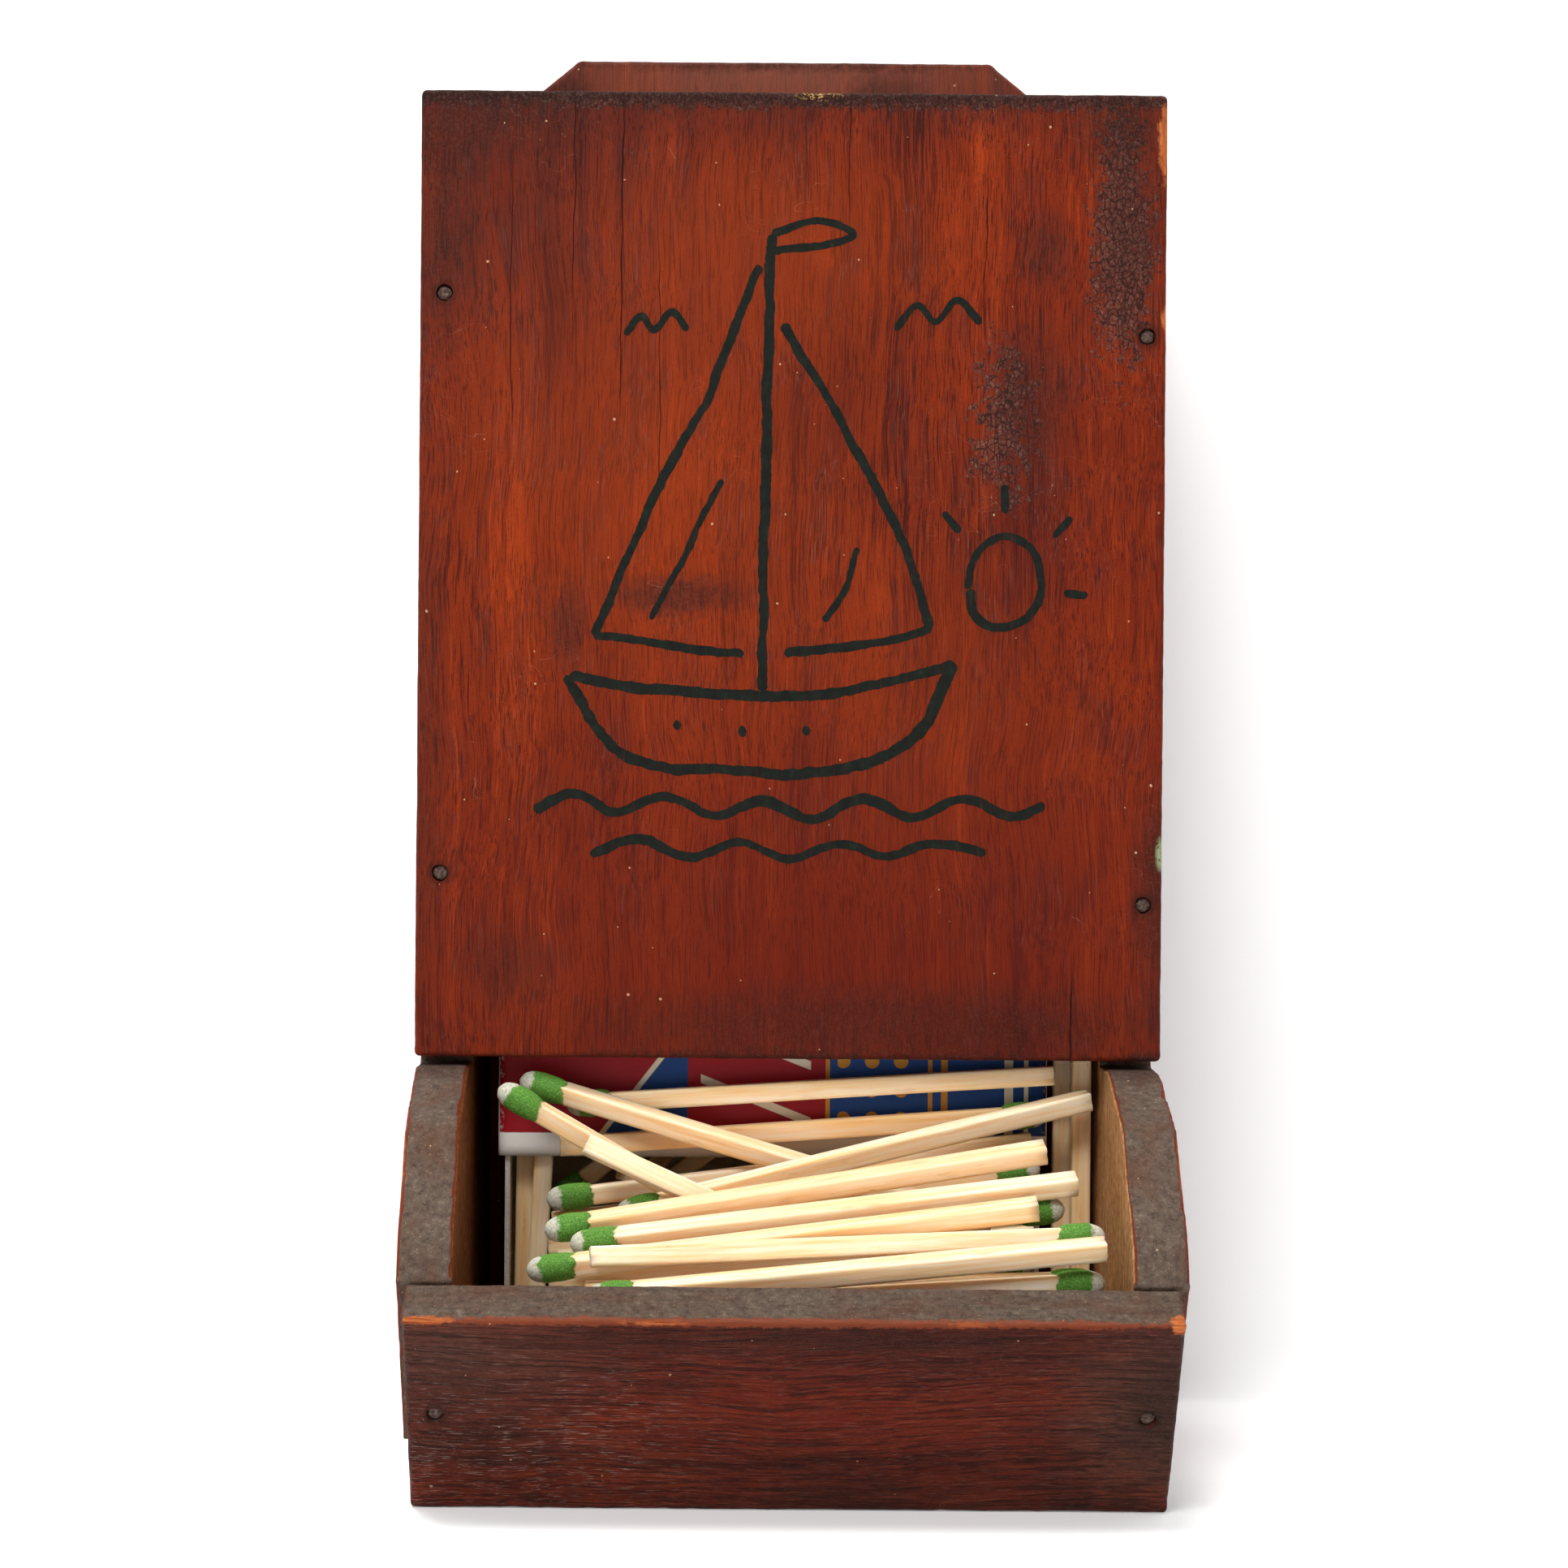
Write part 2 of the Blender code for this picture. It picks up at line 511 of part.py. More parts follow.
def build_tray_matches(match, group):
    """The matches that lie loose in the tray and those that stand beside the box."""
    play = (INNER_WIDTH - MATCH_LENGTH) / 2
    for name, row in TRAY_MATCH_SHARES.items():
        side, heading, tail_depth, tail_height, head_depth, head_height, turn = row
        forward = (head_depth - tail_depth) * STICK
        rise = (head_height - tail_height) * STICK
        level = math.sqrt(MATCH_LENGTH**2 - forward**2 - rise**2)
        way = Vector((heading * level, -forward, rise))
        tail = Vector((side * play - way.x / 2, SLEEVE_FRONT_Y - tail_depth * STICK, FLOOR_T + tail_height * STICK))
        place(name, match, group, None, match_matrix(tail, way.normalized(), math.radians(turn)))
    box_side = BOX_WIDTH / 2 - BOX_SHIFT
    up = Vector((0, 0, 1))
    inner = Vector((box_side + GAP + HEAD_D / 2, SLEEVE_FRONT_Y + BESIDE_BOX_INNER_DEPTH_SHARE * STICK, SIDE_BOTTOM + GAP))
    place("match_beside_box_1", match, group, None, match_matrix(inner, up))
    outer_x = INNER_WIDTH / 2 - GAP - HEAD_D / 2
    outer_y = SLEEVE_FRONT_Y + BESIDE_BOX_OUTER_DEPTH_SHARE * STICK
    outer = Vector((outer_x, outer_y, SIDE_BOTTOM + GAP + MATCH_LENGTH))
    place("match_beside_box_2", match, group, None, match_matrix(outer, -up))


def build_drawer_matches(match, group):
    """The matches that stand and lean inside the drawer."""
    corner = Vector((-BOX_SHIFT - DRAWER_WIDTH / 2 + CARD_T, DRAWER_FRONT_Y, SIDE_BOTTOM + CARD_T))
    for name, (along, behind, above, lean, reach, head_end) in DRAWER_MATCH_SHARES.items():
        start = corner + STICK * Vector((along, behind, above))
        lean = math.radians(lean)
        rearward = reach * DRAWER_DEPTH / MATCH_LENGTH
        way = Vector((math.sqrt(math.cos(lean) ** 2 - rearward**2), rearward, math.sin(lean)))
        tail = start if head_end == HEAD_HIGH else start + MATCH_LENGTH * way
        place(name, match, group, None, match_matrix(tail, head_end * way))


def build_layer(name, match, group, middle_x, front_y, rear_y, base_z):
    """One layer of matches side by side, heads left and right in turn, each touching the next at one end."""
    shift = (LAYER_STEP - (STICK + HEAD_D) / 2 + LAYER_JOIN) / 2
    yaw = math.asin(shift / ((MATCH_LENGTH - HEAD_LENGTH) / 2))
    room = rear_y - front_y - HEAD_D - 2 * shift
    count = int(room / LAYER_STEP) + 1
    pieces = []
    for index in range(count):
        sign = 1 if index % 2 == 0 else -1
        middle = Vector((middle_x, front_y + HEAD_D / 2 + shift + index * LAYER_STEP, base_z + HEAD_D / 2))
        way = Vector((sign * math.cos(yaw), math.sin(yaw), 0))
        matrix = match_matrix(middle - way * MATCH_LENGTH / 2, way, sign * LAYER_TURN)
        pieces.append(place(f"{name}_{index}", match, group, None, matrix))
    for other in pieces[1:]:
        boolean(pieces[0], "UNION", other)
    world = pieces[0].matrix_world.copy()
    mesh = evaluated_mesh(pieces[0])
    for other in pieces[1:]:
        bpy.data.objects.remove(other, do_unlink=True)
    place(name, mesh, group, None, world)


def build_layers(match, group):
    """The layers under the loose matches, in the tray and in the drawer."""
    pitch = HEAD_D + GAP
    rear = SLEEVE_FRONT_Y - GAP
    channel_front = SLEEVE_FRONT_Y - CHANNEL_FRONT_SHARE * STICK
    channel_rear = SLEEVE_FRONT_Y - CHANNEL_REAR_SHARE * STICK
    for number in range(TRAY_LAYERS):
        base = SIDE_BOTTOM + GAP + number * pitch
        front = lip_rear_y(base) + GAP
        if number < TRAY_LAYERS / 2:
            build_layer(f"match_layer_tray_{number + 1}", match, group, 0, front, rear, base)
        else:
            build_layer(f"match_layer_lip_{number + 1}", match, group, 0, front, channel_front, base)
            build_layer(f"match_layer_rear_{number + 1}", match, group, 0, channel_rear, rear, base)
    front = DRAWER_FRONT_Y + CARD_T + GAP
    rear = DRAWER_FRONT_Y + DRAWER_DEPTH - CARD_T - GAP
    middle_x = DRAWER_WIDTH / 2 - BOX_SHIFT - CARD_T - GAP - MATCH_LENGTH / 2
    for number in range(DRAWER_LAYERS):
        base = SIDE_BOTTOM + CARD_T + GAP + number * pitch
        build_layer(f"match_layer_drawer_{number + 1}", match, group, middle_x, front, rear, base)


def main():
    clear_scene()
    group = collection("matchbox_holder")
    cutters = collection("cutters", hidden=True)
    stained = finish("stained_softwood", (0.17, 0.025, 0.012), 0.42)
    worn = finish("worn_stained_softwood", (0.10, 0.022, 0.014), 0.5)
    steel = finish("rusted_steel", (0.06, 0.04, 0.03), 0.6, 0.8)
    printed = finish("printed_card", (0.25, 0.01, 0.012), 0.45)
    grey_card = finish("grey_card", (0.45, 0.38, 0.30), 0.8)
    aspen = finish("aspen", (0.83, 0.66, 0.42), 0.55)
    boards = build_boards(group, stained, worn)
    cut_hang_hole(boards["back_board"], cutters)
    build_nails(boards, group, cutters, steel)
    build_matchbox(group, printed, grey_card)
    match = match_mesh(group)
    match.materials.append(aspen)
    build_tray_matches(match, group)
    build_drawer_matches(match, group)
    build_layers(match, group)
    for cutter in cutters.objects:
        cutter.hide_render = True
        cutter.display_type = "WIRE"


main()
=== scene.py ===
import json
import math

import bmesh
import bpy
import numpy as np
from mathutils import Matrix, Vector


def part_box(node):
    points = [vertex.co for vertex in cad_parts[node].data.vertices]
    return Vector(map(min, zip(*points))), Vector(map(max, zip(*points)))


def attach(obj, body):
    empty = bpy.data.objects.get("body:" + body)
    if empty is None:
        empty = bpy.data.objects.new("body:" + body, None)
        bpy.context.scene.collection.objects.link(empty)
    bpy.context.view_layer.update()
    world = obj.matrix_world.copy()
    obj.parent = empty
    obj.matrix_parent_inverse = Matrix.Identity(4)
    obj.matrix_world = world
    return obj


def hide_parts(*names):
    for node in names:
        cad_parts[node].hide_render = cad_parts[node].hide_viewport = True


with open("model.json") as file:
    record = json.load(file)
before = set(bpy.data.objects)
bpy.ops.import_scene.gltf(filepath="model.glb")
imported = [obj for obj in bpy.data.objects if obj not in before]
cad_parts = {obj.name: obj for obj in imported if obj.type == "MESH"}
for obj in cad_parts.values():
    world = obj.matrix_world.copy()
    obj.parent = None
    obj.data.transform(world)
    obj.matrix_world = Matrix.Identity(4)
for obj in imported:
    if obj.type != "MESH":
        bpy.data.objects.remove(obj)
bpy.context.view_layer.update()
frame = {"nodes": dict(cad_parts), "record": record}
nodes = frame["nodes"]


# Camera and studio
# The camera looks level from 420 mm in front of the front board, a little left of the middle, and is rolled
# by under half a degree. White paper lies under the holder and hangs close behind it, under soft lamps.
MM = 0.001
# Every length is in mm from a point under the middle of the front board's face: x to the right, y to the
# rear, z up. Only the lamps are in metres.
ORIGIN = np.array([0.0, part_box("front_board")[0].y, 0.0])
CAMERA_PLACE = (-12.3, -420.0, 84.1)
CAMERA_ROLL = math.radians(0.45)
SENSOR_WIDTH = 36.0
FOCAL_LENGTH = 79.5
PHOTO_SIDE = 1932
PHOTO_SHIFT = 118  # pixels that the photo's frame lies right of the lens
PAPER_REACH = 3000.0
WALL_GAP = 7.0  # behind the back board
WALL_BEND = 7.0
PAPER_T = 0.02
PAPER_GLOW = 0.20
WORLD_LEVEL = 0.30  # what lights the object; rays that see the background get 1, which is white
LAMPS = (  # name, place, target, side and power in watts
    ("key", (-0.24, -0.80, 0.80), (0, 0, 0.08), 0.34, 6.4),
    ("top", (-0.12, -0.22, 1.15), (0, -0.02, 0.03), 0.34, 9.0),
    ("rear", (-0.3, 0.9, 0.7), (0, 0, 0.1), 0.7, 4.5),
)


def colour(code):
    """An sRGB hex code as linear RGBA."""
    parts = [int(code[i : i + 2], 16) / 255 for i in (1, 3, 5)]
    return [c / 12.92 if c <= 0.04045 else ((c + 0.055) / 1.055) ** 2.4 for c in parts] + [1.0]


def add(tree, kind, *inputs, stops=(), **settings):
    """Adds a shader node with its settings and a ramp's (position, hex) stops, fills its live inputs in their
    order with links, numbers, vectors or hex colours, skipping None, and returns its first live output."""
    node = tree.nodes.new("ShaderNode" + kind)
    for name, value in settings.items():
        setattr(node, name, value)
    for number, (position, code) in enumerate(stops):
        elements = node.color_ramp.elements
        element = elements[number] if number < len(elements) else elements.new(1.0)
        element.position, element.color = position, colour(code)
    for socket, value in zip([s for s in node.inputs if s.enabled], inputs):
        if isinstance(value, bpy.types.NodeSocket):
            tree.links.new(value, socket)
        elif value is not None:
            socket.default_value = colour(value) if isinstance(value, str) else value
    return next(s for s in node.outputs if s.enabled)


def background_rays(tree):
    """1 for rays from the camera, or from a mirror or glass that shows the background, and 0 for others."""
    path = add(tree, "LightPath").node.outputs
    seen = add(tree, "Math", path["Is Camera Ray"], path["Is Glossy Ray"], operation="MAXIMUM")
    return add(tree, "Math", seen, path["Is Transmission Ray"], operation="MAXIMUM")


class Finish:
    """A procedural material on the object's own position in mm."""

    def __init__(self, name, roughness, specular=0.5):
        self.material = bpy.data.materials.new(name)
        self.material.use_nodes = True
        self.tree = self.material.node_tree
        self.shader = self.tree.nodes["Principled BSDF"]
        self.shader.inputs["Roughness"].default_value = roughness
        self.shader.inputs["Specular IOR Level"].default_value = specular
        metres = self.add("TexCoord").node.outputs["Object"]
        moved = self.add("VectorMath", metres, tuple(ORIGIN), operation="SUBTRACT")
        self.place = self.add("VectorMath", moved, 1 / MM, operation="SCALE")
        self.x, self.y, self.z = self.add("SeparateXYZ", self.place).node.outputs

    def add(self, kind, *inputs, **settings):
        return add(self.tree, kind, *inputs, **settings)

    def set(self, **links):
        """Links values to the shader's inputs, named with _ for a space."""
        for name, link in links.items():
            self.tree.links.new(link, self.shader.inputs[name.replace("_", " ")])

    def coat(self, under, *coats):
        """Lays coats of colour over a colour, each one (mask, colour)."""
        for mask, over in coats:
            under = self.add("Mix", mask, under, over, data_type="RGBA")
        return under

    def chained(self, operation, *masks):
        """Masks taken together one after the other by one operation."""
        made = masks[0]
        for mask in masks[1:]:
            made = self.add("Math", made, mask, operation=operation)
        return made

    def times(self, *masks):
        """Masks multiplied together."""
        return self.chained("MULTIPLY", *masks)

    def largest(self, *masks):
        """The largest of several masks."""
        return self.chained("MAXIMUM", *masks)

    def away_from(self, field, value):
        """How far a field is from a value, to either side."""
        return self.add("Math", self.add("Math", field, value, operation="SUBTRACT"), operation="ABSOLUTE")

    def between(self, field, start, end, soft, *masks):
        """Masks times one that is 1 where a field lies between two values, with edges as soft as given."""
        rise = self.add("MapRange", field, start, start + soft)
        return self.times(*masks, rise, self.add("MapRange", field, end, end - soft))

    def sum_of(self, shares, *fields):
        """Three fields, each times its share, added up as the dot product of two vectors."""
        return self.add("VectorMath", self.add("CombineXYZ", *fields), shares, operation="DOT_PRODUCT")

    def relief(self, height, depth):
        """Bump whose whole height is depth mm."""
        self.set(Normal=self.add("Bump", 1.0, depth * MM, None, height))


def paper(name, profile):
    """A sheet of white paper with a (y, z) profile in mm, which glows a little for background rays."""
    finish = Finish("matt_paper", 0.9, 0.0)
    finish.shader.inputs["Base Color"].default_value = colour("#f2f2f2")
    finish.shader.inputs["Emission Color"].default_value = colour("#ffffff")
    finish.set(Emission_Strength=finish.times(background_rays(finish.tree), PAPER_GLOW))
    sheet = bpy.data.objects.new(name, bpy.data.meshes.new(name))
    points = [
        tuple(np.array((x, y, z)) * MM + ORIGIN) for y, z in profile for x in (-PAPER_REACH, PAPER_REACH)
    ]
    quads = [(i, i + 1, i + 3, i + 2) for i in range(0, len(points) - 2, 2)]
    sheet.data.from_pydata(points, [], quads)
    sheet.data.shade_smooth()
    sheet.data.materials.append(finish.material)
    bpy.context.scene.collection.objects.link(sheet)
    return finish


def lamp(name, place, target, side, power):
    """A square lamp that faces a target, in metres and watts."""
    data = bpy.data.lights.new(name, "AREA")
    data.size = side
    data.energy = power
    made = bpy.data.objects.new(name, data)
    made.location = place
    made.rotation_euler = (Vector(target) - Vector(place)).to_track_quat("-Z", "Y").to_euler()
    bpy.context.scene.collection.objects.link(made)


camera_data = bpy.data.cameras.new("camera")
camera_data.sensor_width = SENSOR_WIDTH
camera_data.lens = FOCAL_LENGTH
camera_data.shift_x = PHOTO_SHIFT / PHOTO_SIDE
camera = bpy.data.objects.new("camera", camera_data)
camera.location = np.array(CAMERA_PLACE) * MM + ORIGIN
turn = Matrix.Rotation(math.pi / 2, 3, "X") @ Matrix.Rotation(CAMERA_ROLL, 3, "Z")
camera.rotation_euler = turn.to_euler()
bpy.context.scene.collection.objects.link(camera)
bpy.context.scene.camera = camera
bpy.context.scene.view_settings.view_transform = "Standard"

# The wall's foot bends forward to the floor. It is clear from behind and casts no shadow, so that the other
# views aren't blocked or dark.
paper("floor", [(-PAPER_REACH, 0), (PAPER_REACH, 0)])
wall_y = (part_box("back_board")[1].y - ORIGIN[1]) / MM + WALL_GAP
bend = [
    (wall_y - WALL_BEND * (1 - math.sin(t)), WALL_BEND * (1 - math.cos(t)))
    for t in np.linspace(0, math.pi / 2, 10)
]
wall = paper("wall", [(y, z + PAPER_T) for y, z in bend] + [(wall_y, PAPER_REACH)])
behind = wall.add("NewGeometry").node.outputs["Backfacing"]
behind = wall.add("Math", behind, wall.add("LightPath").node.outputs["Is Shadow Ray"], operation="MAXIMUM")
clear = wall.add("MixShader", behind, wall.shader.outputs[0], wall.add("BsdfTransparent"))
wall.tree.links.new(clear, wall.tree.nodes["Material Output"].inputs["Surface"])

for settings in LAMPS:
    lamp(*settings)
world = bpy.data.worlds.new("studio")
world.use_nodes = True
bpy.context.scene.world = world
sky = world.node_tree.nodes["Background"]
sky.inputs["Color"].default_value = colour("#ffffff")
level = add(world.node_tree, "MapRange", background_rays(world.node_tree), 0.0, 1.0, WORLD_LEVEL, 1.0)
world.node_tree.links.new(level, sky.inputs["Strength"])


# Brads
# Fourteen thin wire brads hold the boards. Each is drawn steel, rusted brown, with a small domed head that
# was driven a little under the wood.
NAIL_PROFILE = [  # radius and depth
    (0.02, -0.05), (0.45, -0.02), (0.80, 0.06), (0.90, 0.2),
    (0.88, 0.5), (0.6, 0.52), (0.6, 17.0), (0.02, 19.0),
]
NAIL_SEAT = 0.05  # how much deeper than in the CAD the head is drawn
NAIL_RAGGED_SHARE = 0.10
NAIL_SPOKES = 24
RUST = ((0.30, "#1d1411"), (0.46, "#42302a"), (0.58, "#6b5447"), (0.72, "#97836f"))


def span(node):
    """A CAD node's lowest and highest corner in mm."""
    low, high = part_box(node)
    return (np.array(low) - ORIGIN) / MM, (np.array(high) - ORIGIN) / MM


def node_points(node):
    """A CAD node's vertices in mm."""
    co = np.empty(len(nodes[node].data.vertices) * 3, np.float32)
    nodes[node].data.vertices.foreach_get("co", co)
    return (co.reshape(-1, 3).astype(float) - ORIGIN) / MM


def noise(points, seed=0):
    """Value noise from -1 to 1: hashed corner values of a unit lattice, blended by 3t^2 - 2t^3."""
    cell = np.floor(points).astype(np.int64)
    part = points - cell
    part = part * part * (3 - 2 * part)
    primes = np.array([73856093, 19349663, 83492791])[: points.shape[-1]]
    total = np.zeros(points.shape[:-1])
    for corner in np.ndindex(*(2,) * points.shape[-1]):
        offset = np.array(corner)
        key = ((cell + offset) * primes).sum(-1) + seed * 7919
        key = ((key ^ (key >> 13)) * 1274126177) & 0x7FFFFFFF
        key = ((key ^ (key >> 15)) * 668265263) & 0x7FFFFFFF
        value = (key >> 8 & 0xFFFF) / 32767.5 - 1
        total += value * np.prod(np.where(offset, part, 1 - part), -1)
    return total


def grid_faces(rows, columns, wrap=True):
    """Quads between neighbouring rows and columns of vertices; with wrap the last column meets the first."""
    last = columns if wrap else columns - 1
    r, c = np.meshgrid(np.arange(rows - 1), np.arange(last), indexing="ij")
    n = (c + 1) % columns
    quads = np.stack([r * columns + c, r * columns + n, (r + 1) * columns + n, (r + 1) * columns + c], -1)
    return quads.reshape(-1, 4)


def mesh_object(name, points, quads, caps=(), attributes=None):
    """A smooth object from points in mm, quads and a few larger faces, with its faces turned out."""
    mesh = bpy.data.meshes.new(name)
    faces = [tuple(q) for q in np.asarray(quads).tolist()] + [tuple(c) for c in caps]
    mesh.from_pydata((points * MM + ORIGIN).tolist(), [], faces)
    for key, values in (attributes or {}).items():
        wide = values.ndim == 2
        layer = mesh.attributes.new(key, "FLOAT_VECTOR" if wide else "FLOAT", "POINT")
        layer.data.foreach_set("vector" if wide else "value", values.astype(np.float32).ravel())
    bm = bmesh.new()
    bm.from_mesh(mesh)
    bmesh.ops.recalc_face_normals(bm, faces=bm.faces)
    bm.to_mesh(mesh)
    bm.free()
    mesh.polygons.foreach_set("use_smooth", [True] * len(mesh.polygons))
    obj = bpy.data.objects.new(name, mesh)
    bpy.context.scene.collection.objects.link(obj)
    return obj


def fit(obj, node_names, body, finish):
    """The piece stands for these CAD nodes, moves with their body and takes this finish."""
    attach(obj, body)
    if node_names:
        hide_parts(*node_names)
    obj.data.materials.clear()
    obj.data.materials.append(finish.material)


def brad_line(points):
    """A brad's head centre and the direction that it is driven in, the way its points spread the most."""
    middle = points.mean(0)
    way = np.linalg.svd(points - middle, full_matrices=False)[2][0]
    along = (points - middle) @ way
    wide = np.linalg.norm(points - middle - along[:, None] * way, axis=1)
    if wide[along < along.min() + 0.3].max() < wide[along > along.max() - 0.3].max():
        way, along = -way, -along
    return middle + way * along.min(), way


def turned(centre, way, profile, around=32, ragged=0.0, seed=0):
    """A (radius, depth) profile turned about a line: points, quads and two end faces. Each spoke's radius is
    changed by a share that wanders around the circle."""
    side = np.cross(way, [0.0, 0.0, 1.0] if abs(way[2]) < 0.9 else [1.0, 0.0, 0.0])
    side /= np.linalg.norm(side)
    up = np.cross(way, side)
    angle = np.linspace(0, 2 * np.pi, around, endpoint=False)
    circle = np.stack([np.cos(angle), np.sin(angle)], -1)
    radius, depth = np.array(profile, float).T
    rim = radius[:, None] * (1 + ragged * noise(circle * 1.7, seed))
    points = centre + depth[:, None, None] * way
    points = points + (rim * circle[:, 0])[..., None] * side + (rim * circle[:, 1])[..., None] * up
    last = (len(profile) - 1) * around
    ends = [range(around), range(last, last + around)]
    return points.reshape(-1, 3), grid_faces(len(profile), around), ends


# Rust is matt and mottled, brown to black, with a few bare, brighter specks
rust = Finish("rusted_steel", 0.65, 0.3)
scale = rust.add("TexNoise", rust.place, 2.6, 6.0, 0.7)
rust.set(
    Base_Color=rust.add("ValToRGB", scale, stops=RUST),
    Metallic=rust.add("MapRange", scale, 0.55, 0.75, 0.1, 0.7),
)
rust.relief(scale, 0.12)
brads = {name: brad_line(node_points(name)) for name in nodes if "nail" in name}
for number, (name, (head, way)) in enumerate(brads.items()):
    skin = turned(head + way * NAIL_SEAT, way, NAIL_PROFILE, NAIL_SPOKES, NAIL_RAGGED_SHARE, number)
    fit(mesh_object("look_" + name, *skin), [name], "holder", rust)


# Front board
# The tall board that carries the drawing: softwood a quarter inch thick, under thin red stain that has
# darkened with soot at the edges. Painted shade darkens its lower part, its right edge and its crushed lower
# right corner. It is face-nailed to the sides with four brads.
RED_STAIN = ("#3d120d", "#76260c", "#933410")
PORE_STRETCH_SHARE = 0.022  # the grain's width as a share of its length
FRONT_GRIME_AND_SHADE = (
    ((-42, 0, 166), (22, 9, 13), 0.60),
    ((-44, 0, 150), (9, 9, 22), 0.45),
    ((0, 0, 168), (120, 9, 3.0), 0.80),
    ((0, 0, 166), (90, 9, 6.0), 0.25),
    ((41, 0, 153), (7.5, 6, 26), 0.50),
    ((39, 0, 164), (9, 6, 8), 0.55),
    ((-14, 0, 107), (14, 6, 4), 0.60),
    ((-27, 0, 103), (4, 6, 9), 0.50),
    ((-46, 0, 90), (7, 6, 60), 0.40),
    ((0, 0, 49.5), (80, 9, 3.4), 0.95),
    ((12, 0, 55), (60, 9, 8), 0.45),
    ((-34, 0, 62), (9, 6, 8), 0.40),
    ((29, 0, 131), (8, 6, 16), 0.45),
    ((31, 0, 149), (5, 6, 8), 0.40),
    ((45, 0, 72), (6, 6, 22), 0.55),
    # Painted shade: a dark spot for the crushed lower right corner, whose dent isn't modelled
    ((43.5, 0, 50.6), (5, 6, 2.2), 0.95),
)
FRONT_WEAR = (
    ((45.7, 0, 162.5), (2.6, 5, 9), 0.95),
    ((45.8, 0, 141), (1.8, 5, 3.2), 0.95),
    ((-20, 0, 50.0), (40, 8, 0.9), 0.90),
    ((46.0, 0, 100), (0.9, 5, 60), 0.55),
    ((-46.0, 0, 100), (0.9, 5, 60), 0.50),
    ((1, 0, 168.9), (3, 5, 1.0), 0.95),
    ((12, 0, 168.9), (2.4, 5, 1.0), 0.95),
)
# Painted shade: the front board darker towards its bottom and its right edge
FRONT_SHADE = (((4, 0, 62), (80, 9, 44), 0.75), ((46, 0, 110), (30, 9, 70), 0.40))
FRONT_SPLITS = (  # the x of each drying split, the z of its ends, and half its width
    (35.0, 36, 63, 0.14),
    (-20.2, 128, 170, 0.08),
    (-26.0, 142, 172, 0.06),
    (-15.4, 116, 150, 0.06),
    (-33.5, 126, 160, 0.06),
    (24.0, 138, 160, 0.06),
    (7.5, 152, 172, 0.06),
)
FRONT_GLOW = (
    ((-16, 0, 124), (32, 9, 42), 0.30),
    ((14, 0, 92), (26, 9, 24), 0.25),
    ((2, 0, 150), (24, 9, 16), 0.30),
)
FRONT_VEIL = ((-34, 0, 156), (40, 9, 42), 1.1)
OLD_VARNISH = (
    ((25.5, 0, 128), (7, 8, 18), 0.9),
    ((40, 0, 150), (6, 8, 24), 1.3),
    ((0, 0, 168), (120, 9, 2.8), 1.5),
)
GREEN_SPOT = ((45.2, 0, 76.0), (0.9, 2.0, 2.6), 2.0)
CREAM_SPOT = ((3, 0, 168.0), (3.5, 1.2, 1.0), 2.0)
FILLET_POINTS = 5
FILLET_REACH_SHARE = 0.45  # the most of a line that the fillet at its end takes up
FAR = 99.0  # stands for no limit
EDGE_RINGS = 6
SINK_PROFILE = [(0.99, -1.2), (1.02, 0.25), (0.7, 0.9), (0.7, 1.4)]
SINK_SPOKES = 28
SINK_RAGGED_SHARE = 0.09


def rounded_outline(corners, radius, step=0.6):
    """A closed outline with a small quadratic fillet at each corner and a point about every step, and how far
    its edge may be rounded at each point: more with the distance from the nearest sharp corner."""
    corners = np.array(corners, float)
    back, on = np.roll(corners, 1, 0) - corners, np.roll(corners, -1, 0) - corners
    back_length, on_length = np.linalg.norm(back, axis=1), np.linalg.norm(on, axis=1)
    back, on = back / back_length[:, None], on / on_length[:, None]
    sharp = np.sum(back * on, 1) > -0.9
    t = np.linspace(0, 1, FILLET_POINTS)[:, None]
    made, room = [], []
    for i, here in enumerate(corners):
        after = (i + 1) % len(corners)
        reach = min(radius, back_length[i] * FILLET_REACH_SHARE, on_length[i] * FILLET_REACH_SHARE)
        start, end = here + back[i] * reach, here + on[i] * reach
        made.append((1 - t) ** 2 * start + 2 * t * (1 - t) * here + t**2 * end)
        room.append(np.full(FILLET_POINTS, 0.0 if sharp[i] else FAR))
        before = min(radius, on_length[i] * FILLET_REACH_SHARE, on_length[after] * FILLET_REACH_SHARE)
        follow = corners[after] - on[i] * before
        run = np.linalg.norm(follow - end)
        shares = np.linspace(0, 1, max(2, int(run / step)) + 1)[1:-1]
        made.append(end + (follow - end) * shares[:, None])
        near = np.where(sharp[i], shares * run, FAR)
        room.append(np.minimum(near, np.where(sharp[after], (1 - shares) * run, FAR)))
    return np.concatenate(made), 0.6 * radius + 0.45 * np.concatenate(room)


